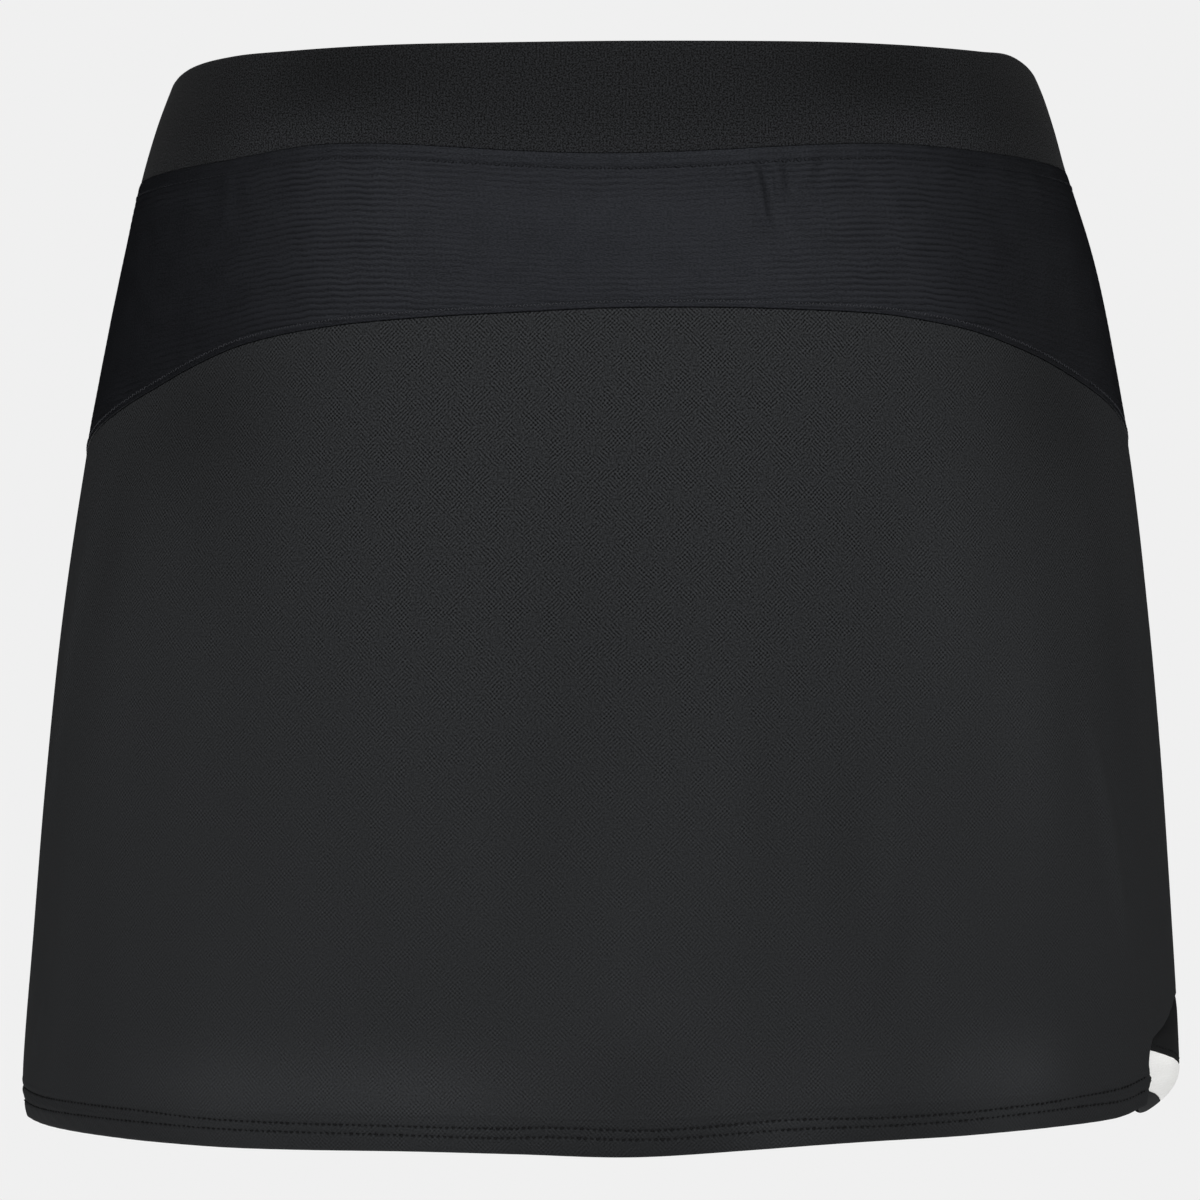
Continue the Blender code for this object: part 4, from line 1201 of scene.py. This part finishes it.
# endGap is degrees from the piece's ends, out is millimetres out of the cloth
stitchRows = {
    "yoke_top_stitches": {
        "spacing": 1.25, "length": 1.3, "width": 0.46, "zigzag": 44, "thread": "glossThread",
        "slot": "rib_knit", "seed": 3, "endGap": 0.6, "out": 0.02,
    },
    "yoke_foot_stitches": {
        "spacing": 1.15, "length": 1.25, "width": 0.4, "zigzag": 48, "thread": "paintedShineThread",
        "slot": "rib_knit", "seed": 5, "endGap": 0.6, "out": 0.1,
    },
    "back_hem_stitches": {
        "spacing": 2.0, "length": 1.3, "width": 0.62, "zigzag": 0, "thread": "darkThread",
        "slot": "panel_knit", "seed": 7, "endGap": 1.0, "out": -0.12,
    },
    "front_band_stitches": {
        "spacing": 2.1, "length": 1.5, "width": 0.4, "zigzag": 0, "thread": "darkThread",
        "slot": "panel_knit", "seed": 11, "endGap": 0.5, "out": -0.05,
    },
    "shorts_hem_stitches": {
        "spacing": 2.3, "length": 1.7, "width": 0.4, "zigzag": 0, "thread": "darkThread",
        "slot": "shorts_jersey", "seed": 13,
    },
}


def stitchTree():
    # Lays one short thread at each step of a path, its top turned to the path's outward side.
    tree, given, end = nodeGroup("stitch row", {
        "Path": "Geometry", "Stitch Spacing": "Float", "Thread Length": "Float",
        "Thread Width": "Float", "Zigzag": "Float", "Unevenness": "Float", "Seed": "Int",
        "Thread": "Material",
    }, "Stitches")

    def randomBetween(low, high):
        node = joined(tree, "FunctionNodeRandomValue", data_type="FLOAT")
        return fill(tree, node, {2: low, 3: high, "Seed": given["Seed"]}).outputs[1]

    line = joined(tree, "GeometryNodeMeshToCurve", given["Path"])
    spaced = joined(tree, "GeometryNodeResampleCurve", line.outputs[0], mode="LENGTH")
    fill(tree, spaced, {"Length": given["Stitch Spacing"]})
    ball = joined(tree, "GeometryNodeMeshUVSphere", stitchWork["sides"], stitchWork["rings"], 0.5)
    smooth = joined(tree, "GeometryNodeSetShadeSmooth", ball.outputs[0])
    outward = joined(tree, "GeometryNodeInputNamedAttribute", "outward", data_type="FLOAT_VECTOR")
    tangent = joined(tree, "GeometryNodeInputTangent")
    facing = joined(tree, "FunctionNodeAxesToRotation", outward.outputs[0], tangent.outputs[0],
                    primary_axis="Z", secondary_axis="X")
    lean = randomBetween(maths(tree, "MULTIPLY", given["Unevenness"], -1.0), given["Unevenness"])
    place = joined(tree, "GeometryNodeInputIndex").outputs[0]
    swing = maths(tree, "MULTIPLY_ADD", maths(tree, "MODULO", place, 2.0), 2.0, -1.0)
    slant = maths(tree, "MULTIPLY_ADD", swing, given["Zigzag"], lean)
    spin = joined(tree, "FunctionNodeAxisAngleToRotation", (0.0, 0.0, 1.0), slant)
    turned = joined(tree, "FunctionNodeRotateRotation", facing.outputs[0], spin.outputs[0],
                    rotation_space="LOCAL")
    size = joined(tree, "ShaderNodeCombineXYZ", given["Thread Length"], given["Thread Width"],
                  given["Thread Width"])
    laid = joined(tree, "GeometryNodeInstanceOnPoints", spaced.outputs[0])
    fill(tree, laid, {
        "Instance": smooth.outputs[0], "Rotation": turned.outputs[0],
        "Scale": scaled(tree, size.outputs[0], randomBetween(*stitchWork["sizes"])),
    })
    finishTree(tree, laid.outputs[0], given["Thread"], end)
    return tree


stitches = stitchTree()


def stitchPath(name, lines):
    # Edges through the points of each line, with the outward side of the cloth on each point.
    points, outward, edges = [], [], []
    for place, side in lines:
        first = len(points)
        points += (place * mm).tolist()
        outward += side.tolist()
        edges += [(first + step, first + step + 1) for step in range(len(place) - 1)]
    mesh = bpy.data.meshes.new(name)
    mesh.from_pydata(points, edges, [])
    attribute = mesh.attributes.new("outward", "FLOAT_VECTOR", "POINT")
    attribute.data.foreach_set("vector", np.array(outward, np.float32).reshape(-1))
    piece = bpy.data.objects.new(name, mesh)
    bpy.context.scene.collection.objects.link(piece)
    return piece


def sewRow(name, lines):
    row = stitchRows[name]
    piece = stitchPath(name, lines)
    sewing = piece.modifiers.new("sewing", "NODES")
    sewing.node_group = stitches
    setInputs(sewing, **{
        "Stitch Spacing": row["spacing"] * mm, "Thread Length": row["length"] * mm,
        "Thread Width": row["width"] * mm, "Zigzag": math.radians(row["zigzag"]),
        "Unevenness": math.radians(stitchWork["lean"]), "Seed": row["seed"],
        "Thread": finishes[row["thread"]],
    })
    plainMesh(piece)
    finishPiece(piece, row["thread"], row["slot"])


def skirtLine(name, ends, line, above, place):
    # Points and normals along a line of the skirt, at heights above it.
    row = stitchRows[name]
    angle = np.linspace(ends[0] + row["endGap"], ends[1] - row["endGap"], 500)
    z = lineHeight(line, angle) + above(angle)
    return place(angle, z, row["out"]), bodyNormal(angle, z)


def legLine(side, height):
    turn = side * np.linspace(-89, 89, 400)
    z = np.full(turn.shape, shortsCut["legFoot"] + height)
    place = shortsPoint(side, turn, z, 1.0)
    outward = np.cross(np.gradient(place, axis=0) * side, (0.0, 0.0, 1.0))
    return place, outward / np.linalg.norm(outward, axis=-1, keepdims=True)


def sewAlong(name, ends, line, place, *heights):
    sewRow(name, [skirtLine(name, ends, line, above, place) for above in heights])


overBand = skirtForm["bandHeight"] + skirtForm["edgeHeight"] + panelCut["bandHollowAt"][0]
# ends of both panels at the height of their hem stitches
backEnds = np.concatenate(backEdges(np.array([-345.0])))
frontEnds = np.concatenate(frontEdges(np.array([-330.0])))
sewAlong("yoke_top_stitches", (leftSeam, rightSeam), "waistSeam", yokePoint,
         lambda angle: -yokeCut["stitchGap"])
sewAlong("yoke_foot_stitches", (leftSeam, rightSeam), "yokeSeam", yokePoint,
         lambda angle: yokeCut["footStitchGap"])
sewAlong("back_hem_stitches", backEnds, "backHem", backPoint,
         lambda angle: rowHeight(0, angle), lambda angle: rowHeight(1, angle))
sewAlong("front_band_stitches", frontEnds, "frontHem", frontPoint, lambda angle: overBand)
sewRow("shorts_hem_stitches", [
    legLine(side, shortsCut["hemTurn"] - gap)
    for side in (-1, 1) for gap in (0.0, shortsCut["rowGap"])])
print("rows of stitches sewn")

stageSetup = {
    "cameraDistance": 1.7, "cameraHeight": -0.178, "cameraSide": -0.00034, "lens": 151.29,
    "floorHeight": -0.78, "floorRadius": 3.2, "fadeStart": 1.3, "fadeEnd": 3.104,
    "floorColour": (0.82, 0.82, 0.82, 1.0), "backdrop": 0.871, "ambient": 0.5,
}
# turn is the angle round from the camera; the strip shows only in the shine of the cloths
studioLights = {
    "softboxLeft": {"turn": -40, "rise": 1.15, "reach": 1.7, "size": 1.1, "power": 15.5},
    "softboxMiddle": {"turn": 0, "rise": 1.15, "reach": 1.7, "size": 1.1, "power": 12.0},
    "softboxRight": {"turn": 33, "rise": 1.15, "reach": 1.7, "size": 1.1, "power": 17.2},
    "rearFill": {"turn": 180, "rise": 0.9, "reach": 1.8, "size": 1.4, "power": 15.0,
                 "glossy": False},
    "stripRight": {"turn": 102, "rise": 0.1, "reach": 1.7, "size": 0.6, "power": 0.7,
                   "diffuse": False},
}


def makeCamera():
    setup = stageSetup
    camera = bpy.data.objects.new("camera", bpy.data.cameras.new("camera"))
    camera.location = (setup["cameraSide"], -setup["cameraDistance"], setup["cameraHeight"])
    camera.rotation_euler = (math.radians(90), 0, 0)
    camera.data.lens = setup["lens"]
    camera.data.sensor_width = 36.0
    bpy.context.scene.collection.objects.link(camera)
    bpy.context.scene.camera = camera


def makeLight(name, light, target):
    lamp = bpy.data.lights.new(name, "AREA")
    lamp.shape = "SQUARE"
    lamp.size = light["size"]
    lamp.energy = light["power"]
    thing = bpy.data.objects.new(name, lamp)
    turn, reach = math.radians(light["turn"]), light["reach"]
    thing.location = (reach * math.sin(turn), -reach * math.cos(turn), light["rise"])
    thing.rotation_euler = (target - thing.location).to_track_quat("-Z", "Y").to_euler()
    thing.visible_glossy = light.get("glossy", True)
    thing.visible_diffuse = light.get("diffuse", True)
    bpy.context.scene.collection.objects.link(thing)


def makeFloor():
    # A pale floor that fades out before its edge.
    setup = stageSetup
    bpy.ops.mesh.primitive_circle_add(vertices=96, radius=setup["floorRadius"], fill_type="NGON",
                                      location=(0, 0, setup["floorHeight"]))
    floor = bpy.context.object
    floor.name = "studio_floor"
    material, tree, shader = shaderOf("paleFloor")
    fill(tree, shader, {"Base Color": setup["floorColour"], "Roughness": 0.9})
    place = joined(tree, "ShaderNodeTexCoord").outputs["Object"]
    reach = joined(tree, "ShaderNodeVectorMath", place, operation="LENGTH").outputs["Value"]
    fade = joined(tree, "ShaderNodeMapRange", reach, setup["fadeStart"], setup["fadeEnd"])
    clear = joined(tree, "ShaderNodeBsdfTransparent")
    mix = joined(tree, "ShaderNodeMixShader", fade.outputs[0], shader.outputs[0], clear.outputs[0])
    fill(tree, tree.nodes["Material Output"], {"Surface": mix.outputs[0]})
    floor.data.materials.append(material)


def makeWorld():
    # The backdrop is brighter to the camera than the light it gives.
    world = bpy.data.worlds.new("studio")
    bpy.context.scene.world = world
    world.use_nodes = True
    world.cycles_visibility.glossy = False
    tree, ambient = world.node_tree, stageSetup["ambient"]
    seen = joined(tree, "ShaderNodeLightPath").outputs["Is Camera Ray"]
    level = maths(tree, "MULTIPLY_ADD", seen, stageSetup["backdrop"] - ambient, ambient)
    fill(tree, tree.nodes["Background"], {"Color": (1, 1, 1, 1), "Strength": level})
    bpy.context.scene.view_settings.view_transform = "Standard"


makeCamera()
for name, light in studioLights.items():
    makeLight(name, light, Vector((0.0, 0.0, stageSetup["cameraHeight"])))
makeFloor()
makeWorld()
print("stage lit")
